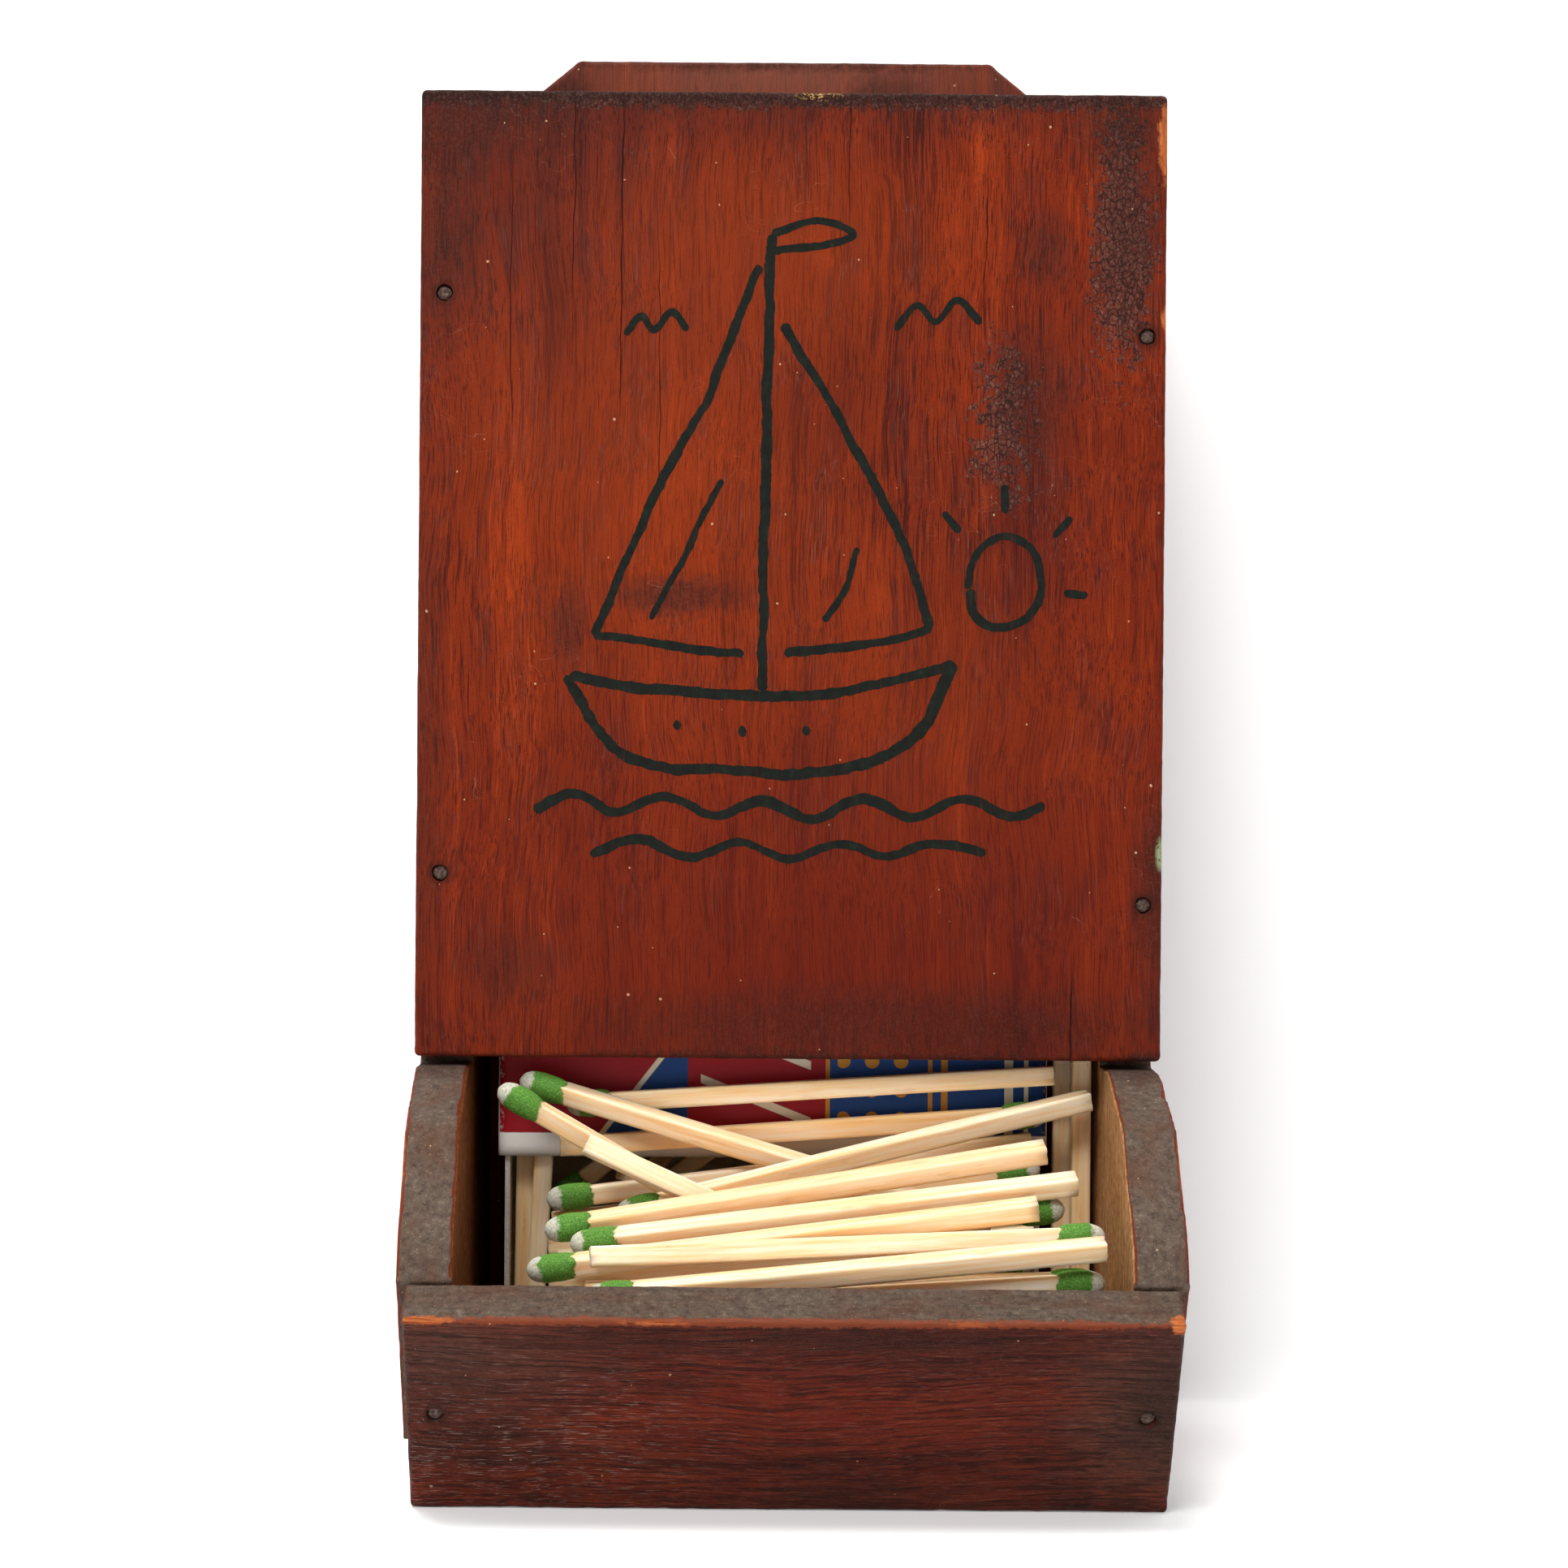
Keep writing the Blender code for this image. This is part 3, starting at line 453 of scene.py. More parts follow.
def board(
    name, corners, axes_of, low, high, seed, wear=0.35, edge=0.55, middle_step=2.0, corner=0.5, waviness=0.05
):
    """An outline in two axes swept along the third from low to high. Its long edges are quarter rounds whose
    radius is worn in places by noise along the outline, and the sawn faces sway by a share of waviness."""
    outline, room = rounded_outline(corners, corner)
    tangent = np.roll(outline, -1, 0) - np.roll(outline, 1, 0)
    tangent /= np.linalg.norm(tangent, axis=1)[:, None]
    area = np.sum(outline[:, 0] * np.roll(outline[:, 1], -1) - outline[:, 1] * np.roll(outline[:, 0], -1))
    outward = np.stack([tangent[:, 1], -tangent[:, 0]], -1) * np.sign(area)
    run = np.cumsum(np.linalg.norm(outline - np.roll(outline, 1, 0), axis=1))
    turn = np.linspace(0, np.pi / 2, EDGE_RINGS)
    mid = np.linspace(0, 1, max(3, int((high - low) / middle_step)))[1:-1]
    # for each ring, the shares of the edge radius that it is set in and back, and its place on the sweep
    inset = np.concatenate([1 - np.sin(turn), np.zeros(len(mid)), (1 - np.sin(turn))[::-1]])
    back = np.concatenate([1 - np.cos(turn), np.zeros(len(mid)), (1 - np.cos(turn))[::-1]])
    end = np.concatenate([-np.ones(EDGE_RINGS), np.zeros(len(mid)), np.ones(EDGE_RINGS)])
    middle = low + edge + mid * (high - low - 2 * edge)
    base = np.concatenate([np.full(EDGE_RINGS, low), middle, np.full(EDGE_RINGS, high)])
    place = np.stack(np.broadcast_arrays(run[None], (end * 40.0)[:, None]), -1)
    chips = np.clip(noise(place * (0.35, 1), seed) - 0.35, 0, 1) * 1.2
    chips = chips + 0.25 * noise(place * (1.3, 1), seed + 1)
    radius = np.minimum(room, edge * (1 + wear * (chips + 0.3 * noise(place * (0.08, 1), seed + 2))))
    level = base[:, None] - end[:, None] * radius * back[:, None]
    sway = np.stack(np.broadcast_arrays(run[None], level), -1)
    sway = np.clip(0.6 + 0.6 * noise(sway * 0.12, seed + 3) + 0.5 * noise(sway * 0.9, seed + 4), 0, None)
    flat = outline[None] - (radius * inset[:, None] + waviness * sway)[..., None] * outward[None]
    points = np.zeros(level.shape + (3,))
    points[..., axes_of[0]] = flat[..., 0]
    points[..., axes_of[1]] = flat[..., 1]
    points[..., axes_of[2]] = level
    rows, columns = level.shape
    caps = [range(columns), range((rows - 1) * columns, rows * columns)]
    obj = mesh_object(name, points.reshape(-1, 3), grid_faces(rows, columns), caps)
    smooth = np.ones(len(obj.data.polygons), bool)
    smooth[-2:] = False
    obj.data.polygons.foreach_set("use_smooth", smooth)
    return obj


def cut(obj, cutters):
    """Takes cutters out of an object and deletes them."""
    for cutter in cutters:
        modifier = obj.modifiers.new("hole", "BOOLEAN")
        modifier.object = cutter
        modifier.solver = "EXACT"
    bpy.context.view_layer.update()
    obj.data = bpy.data.meshes.new_from_object(obj.evaluated_get(bpy.context.evaluated_depsgraph_get()))
    obj.modifiers.clear()
    for cutter in cutters:
        bpy.data.objects.remove(cutter, do_unlink=True)


def brads_of(row):
    """The head centres and directions of one row of brads."""
    return [line for name, line in brads.items() if name.startswith(row)]


def countersink(obj, row):
    """Opens an uneven hole around each brad of a row, as deep as its head."""
    skins = [
        turned(head, way, SINK_PROFILE, SINK_SPOKES, SINK_RAGGED_SHARE, 40 + i)
        for i, (head, way) in enumerate(brads_of(row))
    ]
    cut(obj, [mesh_object("cutter", *skin) for skin in skins])


class Wood(Finish):
    """Softwood under old red stain: fine open grain that holds dark wax and pale dust, whose pale lines also
    stand as painted highlights for glints on raised fibres, soft clouds where the stain took unevenly, and a
    dull waxy sheen. Grain is the axis that the fibres follow."""

    def __init__(self, name, grain, seed, stain):
        super().__init__(name, 0.5, 0.07)
        dark, base, bright = stain
        long = tuple(PORE_STRETCH_SHARE if axis == grain else 1.0 for axis in "xyz")
        self.own = self.add("VectorMath", self.place, (seed * 13.7, seed * 7.3, seed * 3.1), operation="ADD")
        sway = self.add("TexNoise", self.own, 0.03, 2.0).node.outputs["Color"]
        bent = self.add("VectorMath", sway, (5.0, 5.0, 5.0), self.own, operation="MULTIPLY_ADD")
        self.along = self.add("VectorMath", bent, long, operation="MULTIPLY")
        soft = tuple(0.4 if axis == grain else 1.0 for axis in "xyz")
        flow = self.add("VectorMath", bent, soft, operation="MULTIPLY")
        bands = self.add("TexNoise", self.along, 0.16, 2.0)
        streaks = self.add("TexNoise", self.along, 0.8, 3.0, 0.6)
        self.fibre = self.add("TexNoise", self.along, 4.2, 4.0, 0.75)
        self.ragged = self.add("TexNoise", self.own, 0.9, 6.0, 0.72)
        cloud = self.add("TexNoise", flow, 0.05, 3.0, 0.55)
        self.patch = self.add("TexNoise", flow, 0.22, 5.0, 0.65)
        self.grit = self.add("TexNoise", self.own, 3.2, 4.0, 0.75)
        tone = self.sum_of((0.26, 0.30, 0.44), bands, streaks, self.fibre)
        stops = ((0.40, dark), (0.47, base), (0.53, base), (0.60, bright))
        self.skin = self.add("ValToRGB", tone, stops=stops)
        # Pale lines in the grain: dust, and painted highlights for the glints of raised fibres
        lines = self.add("TexNoise", self.along, 8.0, 2.0)
        patches = self.add("MapRange", self.patch, 0.50, 0.62, 0.0, 0.38)
        pale = self.times(self.add("MapRange", lines, 0.58, 0.66), patches)
        lines = self.add("TexNoise", self.along, 2.6, 3.0, 0.6)
        patches = self.add("MapRange", self.patch, 0.46, 0.58, 0.0, 0.60)
        purple = self.times(self.add("MapRange", lines, 0.52, 0.60), patches)
        lines = self.add("TexNoise", self.along, 7.0, 1.0)
        self.pores = self.add("MapRange", lines, 0.57, 0.65, 0.0, 0.65)
        self.skin = self.coat(
            self.skin,
            (self.add("MapRange", cloud, 0.46, 0.34, 0.0, 0.35), bright),
            (self.add("MapRange", cloud, 0.50, 0.64, 0.0, 0.45), dark),
            (self.add("MapRange", self.patch, 0.54, 0.70, 0.0, 0.35), "#3a1410"),
            (purple, "#3a1817"),
            (pale, "#79564f"),
            (self.pores, "#2a0e0a"),
            (self.add("MapRange", self.grit, 0.55, 0.68, 0.0, 0.45), "#34120b"),
        )
        self.rough = self.add("MapRange", self.ragged, 0.35, 0.65, 0.34, 0.56)
        self.height = self.sum_of((0.50, 0.45, 0.45), self.fibre, self.ragged, self.grit)

    def near(self, centre, radii, level=1.0):
        """Level at a place, falling evenly to 0 on an ellipsoid around it."""
        away = self.add("VectorMath", self.place, centre, operation="SUBTRACT")
        shares = self.add("VectorMath", away, tuple(1 / r for r in radii), operation="MULTIPLY")
        return self.add("MapRange", self.add("VectorMath", shares, operation="LENGTH"), 0.0, 1.0, level, 0.0)

    def lay(self, mask, over, roughness=None):
        """Lays one coat over the wood, with its own roughness."""
        self.skin = self.coat(self.skin, (mask, over))
        if roughness:
            self.rough = self.add("Mix", mask, self.rough, roughness)

    def glow(self, places, over):
        """A coat of one colour around (centre, radii, strength) places: stain of another tone, and on the
        front board's lower part and right edge painted shade.
        """
        for centre, radii, strength in places:
            self.lay(self.near(centre, radii, strength), over)

    def soot_and_shade(self, places):
        """Greasy sooty grime with a ragged edge around (centre, radii, strength) places; a few of these
        places are painted shade.
        """
        over = self.coat("#261512", (self.add("MapRange", self.grit, 0.50, 0.68, 0.0, 0.8), "#4f3a33"))
        for centre, radii, strength in places:
            field = self.sum_of((1.0, 0.8, 0.0), self.near(centre, radii), self.ragged, 0.0)
            self.lay(self.add("MapRange", field, 0.62, 1.12, 0.0, strength), over, 0.68)

    def bare(self, places):
        """Orange bare wood with a chipped edge around (centre, radii, strength) places."""
        over = self.coat("#8a3a18", (self.add("MapRange", self.fibre, 0.35, 0.65), "#d9824a"))
        for centre, radii, strength in places:
            field = self.sum_of((1.0, 1.0, 0.0), self.near(centre, radii), self.ragged, 0.0)
            self.lay(self.add("MapRange", field, 0.84, 1.04, 0.0, strength), over, 0.75)

    def stain_nails(self, row):
        """A black iron stain, drawn out along the grain, around each brad's head."""
        for head, way in brads_of(row):
            reach = self.add("VectorMath", self.place, tuple(head), operation="DISTANCE")
            field = self.sum_of((1.0, 2.0, 0.0), reach, self.ragged, 0.0)
            self.lay(self.add("MapRange", field, 1.9, 2.9, 0.60, 0.0), "#1c0f0c")

    def dusty(self, mask):
        """Grey-brown dust rubbed into a sawn edge, with a few ochre grains, and browner where it is thin."""
        fine = self.add("TexNoise", self.own, 1.1, 6.0, 0.8)
        stops = ((0.28, "#352c27"), (0.45, "#564b42"), (0.58, "#675a4e"), (0.72, "#8b7c69"))
        grey = self.add("ValToRGB", fine, stops=stops)
        grains = self.add("MapRange", self.add("TexNoise", self.own, 4.5, 1.0), 0.70, 0.76, 0.0, 0.7)
        thin = self.add("MapRange", self.patch, 0.48, 0.66, 0.0, 0.55)
        grey = self.coat(grey, (thin, "#5a3a2a"), (grains, "#a8946f"))
        self.lay(mask, grey, 0.85)

    def crumbs(self, share=0.7):
        """Pale crumbs of ash and lint, and a few curled hairs."""
        cells = self.add("TexVoronoi", self.own, 0.42)
        size = self.add("MapRange", self.add("TexNoise", self.own, 0.9), 0.46, 0.74, 0.0, 0.10)
        crumb = self.add("Math", cells, size, operation="LESS_THAN")
        curls = self.add("TexNoise", self.own, 0.16, 1.0, 0.5, 2.0, 2.2)
        hair = self.add("MapRange", self.away_from(curls, 0.5), 0.0012, 0.0004, 0.0, 0.5)
        few = self.add("MapRange", self.add("TexNoise", self.own, 0.07, 2.0), 0.56, 0.64)
        self.skin = self.coat(
            self.skin, (self.times(crumb, share), "#d2ab80"), (self.times(hair, few), "#a9846c")
        )

    def close(self, depth=0.13):
        """Links the colour, the roughness and the relief."""
        dug = self.add("Math", self.pores, -0.35, self.height, operation="MULTIPLY_ADD")
        self.set(Base_Color=self.skin, Roughness=self.rough)
        self.relief(dug, depth)


low, high = span("front_board")
corners = [(low[0], low[2]), (high[0], low[2]), (high[0], high[2]), (low[0], high[2])]
front = board("look_front_board", corners, (0, 2, 1), low[1], high[1], 3, wear=0.6, corner=0.8)
countersink(front, "front_nail")
wood = Wood("stained_softwood_front", "z", 1, RED_STAIN)
wood.glow(FRONT_GLOW, "#a03d10")
# Painted shade towards the bottom and the right edge
wood.glow(FRONT_SHADE, "#5a1609")
veil = wood.times(wood.near(*FRONT_VEIL), wood.add("MapRange", wood.fibre, 0.42, 0.60))
wood.lay(wood.times(veil, 0.75), "#40201b")
# Crackled old varnish right of the middle and along the top, and drying splits at both ends of the board
cells = wood.add("VectorMath", wood.place, (1.5, 1.0, 0.9), operation="MULTIPLY")
cracks = wood.add("TexVoronoi", cells, 1.0, feature="DISTANCE_TO_EDGE")
crusty = wood.largest(*(wood.near(*place) for place in OLD_VARNISH))
crusty = wood.sum_of((1.0, 2.6, 0.0), crusty, wood.ragged, 0.0)
crusty = wood.add("MapRange", crusty, 1.76, 1.90)
crust = wood.coat("#552f28", (wood.add("MapRange", wood.grit, 0.48, 0.66), "#8a6759"))
wood.lay(wood.times(crusty, 0.62), crust, 0.6)
wood.lay(wood.times(crusty, wood.add("MapRange", cracks, 0.12, 0.03, 0.0, 0.8)), "#1b0e0c")
wander = wood.add("VectorMath", wood.place, (0.2, 0.0, 0.10), operation="MULTIPLY")
wander = wood.add("TexNoise", wander, 1.0, 3.0)
crooked = wood.add("Math", wander, 1.4, wood.x, operation="MULTIPLY_ADD")
split = 0.0
for place, start, end, width in FRONT_SPLITS:
    across = wood.add("MapRange", wood.away_from(crooked, place), width, width / 3)
    up = wood.add("MapRange", wood.away_from(wood.z, (start + end) / 2), (end - start) / 2, (end - start) / 3)
    split = wood.largest(split, wood.times(across, up))
wood.lay(wood.times(split, 0.8), "#1c0c0a")
crust = wood.times(crusty, wood.add("MapRange", cracks, 0.0, 0.25))
wood.height = wood.sum_of((1.0, -1.6, 0.4), wood.height, split, crust)
# Soot at the edges, and painted shade at the crushed lower right corner
wood.soot_and_shade(FRONT_GRIME_AND_SHADE)
wood.bare(FRONT_WEAR)
wood.stain_nails("front_nail")
wood.lay(wood.times(wood.near(*GREEN_SPOT), wood.add("MapRange", wood.ragged, 0.48, 0.51)), "#8d9a72")
wood.lay(wood.times(wood.near(*CREAM_SPOT), wood.add("MapRange", wood.grit, 0.54, 0.58)), "#c9a35c")
wood.crumbs()
wood.close()
fit(front, ["front_board"], "holder", wood)


# Drawing
# A line picture brushed on the front board in thin, nearly black paint: a sailing boat on the sea, with a
# low sun and gulls. Each stroke is a flat ribbon on the board's face.
BRUSH_LIFT = 0.012  # the first stroke lies this far in front of the board, and the next ones a little more
BRUSH_STEP = 0.0015
BRUSH_WANDER = 0.22  # how far a stroke strays from its curve
POINT_GAP = 0.2  # between the ribbon's crossings
STROKES = (  # width in mm, then the (x, z) places that the brush went through
    (1.35, [(-27, 97), (-23, 90), (-17, 86.5), (0, 85.5), (10, 87), (16, 91), (20, 99)]),
    (1.25, [(-27, 97), (-10, 95.2), (6, 95.4), (20, 99)]),
    (1.2, [(-3.5, 95.5), (-3.2, 120), (-2.6, 151)]),
    (1.1, [(-5.5, 100), (-14, 100.8), (-24, 102)]),
    (1.1, [(-24, 102), (-17, 118), (-10, 132), (-4.2, 147)]),
    (1.1, [(-0.8, 100), (8, 101), (17, 103)]),
    (1.1, [(17, 103), (13, 115), (6, 128), (-1.4, 140)]),
    (0.9, [(-2.6, 151), (3, 152.5), (7, 150.8), (3, 149.4), (-2.5, 148.6)]),
    (0.8, [(-17, 104), (-13, 112), (-8.5, 121)]),
    (0.8, [(4, 104), (6.5, 108), (8, 113)]),
    (1.2, [(-31, 81), (-26, 83), (-21, 80.6), (-15, 82.6), (-9, 80.2), (-3, 82.2), (3, 80),
           (9, 82.4), (15, 80.4), (21, 82.6), (27, 80.6), (31, 82)]),
    (1.1, [(-24, 75.6), (-18, 77.4), (-12, 75.2), (-6, 77.2), (0, 75.2), (6, 77.2),
           (12, 75.4), (18, 77.2), (24, 75.8)]),
    (1.0, [(21.5, 108), (22.6, 112.2), (25.6, 114.4), (29, 112.6), (30.2, 108.2),
           (28.8, 104.6), (25.6, 103.2), (22.6, 104.6), (21.5, 108)]),
    (0.9, [(25.8, 117), (25.9, 120.6)]),
    (0.9, [(31.6, 114.2), (33.8, 116.6)]),
    (0.9, [(20.2, 114.8), (18.4, 117.2)]),
    (0.9, [(33, 107.6), (36, 107.4)]),
    (0.9, [(12.5, 139.5), (15, 142.6), (17.4, 140.4), (20, 143), (22.8, 140.2)]),
    (0.8, [(-20.5, 138.5), (-18.4, 140.8), (-16.8, 139.1), (-14.8, 141.2), (-12.9, 139)]),
    (1.3, [(-14.4, 91), (-13.4, 91.1)]),
    (1.3, [(-6.4, 90.6), (-5.4, 90.7)]),
    (1.3, [(1.6, 90.8), (2.6, 90.9)]),
)


def smooth_curve(points, steps):
    """A Catmull-Rom curve through points, with a number of steps between each two."""
    points = np.array(points, float)
    padded = np.concatenate([[2 * points[0] - points[1]], points, [2 * points[-1] - points[-2]]])
    a, b, c, d = (padded[i : len(padded) - 3 + i, None] for i in range(4))
    t = np.linspace(0, 1, steps, endpoint=False)[None, :, None]
    made = 0.5 * (2 * b + (c - a) * t + (2 * a - 5 * b + 4 * c - d) * t**2 + (3 * b - a - 3 * c + d) * t**3)
    return np.concatenate([made.reshape(-1, points.shape[1]), points[-1:]])


def merged(parts):
    """Several skins of points, quads, end faces and attributes as one."""
    starts = np.cumsum([0] + [len(part[0]) for part in parts[:-1]])
    quads = np.concatenate([part[1] + start for part, start in zip(parts, starts)])
    caps = [[i + start for i in cap] for part, start in zip(parts, starts) for cap in part[2]]
    attributes = {key: np.concatenate([part[3][key] for part in parts]) for key in parts[0][3]}
    return np.concatenate([part[0] for part in parts]), quads, caps, attributes


def ribbon(width, places, number):
    """One brush stroke: a curve with half the width to each side, round at its ends like a half circle, and
    with noise along it in both its line and its edges."""
    line = smooth_curve(places, 40)
    run = np.concatenate([[0], np.cumsum(np.linalg.norm(np.diff(line, axis=0), axis=1))])
    fine = np.linspace(0, run[-1], max(8, int(run[-1] / POINT_GAP)))
    line = np.stack([np.interp(fine, run, line[:, 0]), np.interp(fine, run, line[:, 1])], -1)
    slow = np.stack([fine * 0.22, fine * 0], -1)
    line += BRUSH_WANDER * np.stack([noise(slow, number), noise(slow, number + 50)], -1)
    tangent = np.gradient(line, axis=0)
    tangent /= np.linalg.norm(tangent, axis=1)[:, None]
    across = np.stack([-tangent[:, 1], tangent[:, 0]], -1)
    half = width / 2
    end = np.clip(np.minimum(fine, run[-1] - fine) / half, 0, 1)
    half = half * np.sqrt(np.clip(1 - (1 - end) ** 2, 0.02, 1))
    edges = []
    for side in (-1, 1):
        sample = np.stack([fine * 0.9, np.full(len(fine), side * 9.0 + number)], -1)
        rough = 1 + 0.16 * noise(sample, number + 7) + 0.10 * noise(sample * 3.1, number + 8)
        rough = rough + 0.18 * noise(sample * 0.15, number + 9)
        edges.append(line + across * (side * half * rough)[:, None])
    flat = np.stack([edges[0], line, edges[1]], 1)
    lift = np.full(flat.shape[:2], -BRUSH_LIFT - BRUSH_STEP * number)
    points = np.stack([flat[..., 0], lift, flat[..., 1]], -1)
    return points.reshape(-1, 3), grid_faces(len(fine), 3, wrap=False), [], {}


# Thin dark paint is nearly matt, and the red stain shows where it has worn off along the grain
paint = Finish("dark_brush_paint", 0.6, 0.1)
pores = paint.add("VectorMath", paint.place, (1.0, 1.0, 0.05), operation="MULTIPLY")
pores = paint.add("TexNoise", pores, 3.6, 3.0, 0.65)
thin = paint.add("TexNoise", paint.place, 0.8, 4.0, 0.6)
body = paint.add("ValToRGB", thin, stops=((0.3, "#080b08"), (0.6, "#121812"), (0.8, "#20281f")))
paint.set(Base_Color=paint.coat(body, (paint.add("MapRange", pores, 0.58, 0.70, 0.0, 0.5), "#3c170e")))
paint.relief(pores, 0.06)
skins = [ribbon(width, places, i) for i, (width, places) in enumerate(STROKES)]
drawing = mesh_object("brush_drawing", *merged(skins))
fit(drawing, [], "holder", paint)


# Back board
# The widest board stands highest: its sawn tab, between two slanting shoulders, has a round hole to hang the
# holder by. It is nailed to the sides from behind with four brads.
TAB_HALF = 27.7
TAB_SLOPE = math.tan(math.radians(39.3))
HANG_HOLE_DROP = 8.0
HANG_HOLE_PROFILE = [(2.0, 0), (1.98, 4), (2.02, 9)]
HANG_HOLE_OVERRUN = 1.0
BACK_GLOW = (((0, 47, 181), (50, 9, 14), 0.75),)
BACK_WEAR = (((0, 53.8, 181), (30, 1.5, 1.2), 0.5),)
BACK_GRIME = (
    ((0, 47, 183), (60, 9, 4.0), 0.95),
    ((0, 54, 0), (60, 10, 6), 0.70),
    ((-30, 47, 176), (7, 9, 8), 0.60),
    ((14, 47, 177), (9, 9, 6), 0.45),
    ((20, 54, 60), (14, 6, 30), 0.40),
    ((-40, 54, 140), (10, 6, 30), 0.45),
)
low, high = span("back_board")
shoulder = high[2] - (high[0] - TAB_HALF) * TAB_SLOPE
right = [(high[0], low[2]), (high[0], shoulder), (TAB_HALF, high[2])]
corners = [(low[0], low[2])] + right + [(-TAB_HALF, high[2]), (low[0], shoulder)]
back = board("look_back_board", corners, (0, 2, 1), low[1], high[1], 5)
countersink(back, "back_nail")
start = np.array([0, low[1] - HANG_HOLE_OVERRUN, high[2] - HANG_HOLE_DROP])
hole = turned(start, np.array([0.0, 1.0, 0.0]), HANG_HOLE_PROFILE, 40, 0.02, 9)
cut(back, [mesh_object("cutter", *hole)])
wood = Wood("stained_softwood_back", "z", 2, RED_STAIN)
wood.glow(BACK_GLOW, "#8a5545")
wood.soot_and_shade(BACK_GRIME)
wood.bare(BACK_WEAR)
wood.stain_nails("back_nail")
wood.crumbs()
wood.close()
fit(back, ["back_board"], "holder", wood)


# Sides
# Each side is one board that runs from the chute down into a curved wing beside the tray. Its outer face is
# stained, its inner face is bare and browner, painted darker as shade on the left side and lighter as light
# on the right, and its sawn upper edge is grey with dust. Painted shade darkens the rims under the front
# board.
WING = [  # y and z of the curved edge, from the front board down to the lip
    (0, 49.8), (-2.5, 49.6), (-8.7, 47.1), (-12.9, 45.6), (-16.8, 43.8),
    (-20.2, 39.3), (-24.4, 34.9), (-26.6, 31.7), (-28, 27.5),
]
SHOULDER_Y = 6.7  # where the front board's rear face meets the side
LIP_LEAN = math.radians(32)
# Bare inner faces: one wood, painted darker as shade on the left side and lighter as light on the right
LEFT_BARE_PAINTED_SHADE = ((0.38, "#4c2411"), (0.50, "#7c4a26"), (0.62, "#a97444"))
RIGHT_BARE_PAINTED_LIGHT = ((0.38, "#7d5232"), (0.50, "#b98a58"), (0.62, "#e0b888"))
# Places on the right side; x changes its sign for the left one
SIDE_GRIME = (
    ((45, 20, 168), (6, 40, 6), 0.70),
    ((45, -10, 20), (3, 30, 14), 0.50),
    ((45, 30, 90), (3, 14, 60), 0.35),
)
# Painted shade: soot-coloured darkening of the wing rims just under the front board's lower edge
SIDE_CORNER_PAINTED_SHADE = (((42, 0, 50), (8, 9, 6), 0.6),)
SIDE_WEAR = (((45.2, -18, 38), (0.8, 14, 14), 0.45),)


def on_side(places, sign):
    """A table of places with each x times a sign."""
    return [((sign * x, y, z), radii, strength) for (x, y, z), radii, strength in places]


wing = [tuple(p) for p in smooth_curve(WING, 5)]
for number, (name, sign, inner) in enumerate((("left_side", -1, LEFT_BARE_PAINTED_SHADE), ("right_side", 1, RIGHT_BARE_PAINTED_LIGHT))):
    low, high = span(name)
    foot = WING[-1][0] + (WING[-1][1] - low[2]) * math.tan(LIP_LEAN)
    chute = [(high[1], low[2]), (high[1], high[2]), (SHOULDER_Y, high[2]), (SHOULDER_Y, WING[0][1])]
    corners = chute + wing + [(foot, low[2])]
    side = board(
        "look_" + name, corners, (1, 2, 0), low[0], high[0], 7 + number, wear=1.0, corner=0.3, waviness=0.09
    )
    wood = Wood("stained_softwood_" + name, "z", 3 + number, RED_STAIN)
    across = wood.add("SeparateXYZ", wood.add("NewGeometry").node.outputs["Normal"])
    inward = wood.add("Math", across, -sign, operation="MULTIPLY")
    grain = wood.sum_of((0.6, 0.4, 0.0), wood.fibre, wood.ragged, 0.0)
    # The bare inner face, with painted shade on the left side and painted light on the right
    pale = wood.add("ValToRGB", grain, stops=inner)
    wood.lay(wood.add("MapRange", inward, 0.5, 0.8, 0.0, 0.9), pale, 0.7)
    wood.soot_and_shade(on_side(SIDE_GRIME, sign))
    flat = wood.add("Math", across, operation="ABSOLUTE")
    low_part = wood.add("MapRange", wood.z, 51.0, 50.0)
    wood.lay(wood.times(wood.add("MapRange", flat, 0.86, 0.60), low_part), "#6b2c1a", 0.7)
    field = wood.sum_of((1.0, 0.5, 0.0), flat, wood.ragged, 0.0)
    wood.dusty(wood.times(wood.add("MapRange", field, 0.72, 0.55, 0.0, 0.95), low_part))
    # Painted shade on the rims under the front board
    wood.soot_and_shade(on_side(SIDE_CORNER_PAINTED_SHADE, sign))
    wood.bare(on_side(SIDE_WEAR, sign))
    wood.crumbs(0.5)
    wood.close()
    fit(side, [name], "holder", wood)


# Tray lip
# A short board that leans out across the tray, nailed to the wings with two brads. Hands have worn the stain
# off its upper front edge, its top is grey with dust, and weather has raised the grain of its face, on which
# pale streaks are painted highlights for the glints of that grain.
LIP_STAIN = ("#31140f", "#642515", "#88391f")
LIP_TOP = (-28.0, 27.5)  # the lip's inner upper edge in y and z
LIP_T = 6.4
LIP_SEAT = 0.3 / math.cos(LIP_LEAN)
LIP_GREY = (((43, -27, 12), (15, 14, 22), 0.9), ((-38, -30, 20), (22, 12, 12), 0.6))
LIP_RED = (((4, -27, 12), (34, 14, 10), 0.6),)
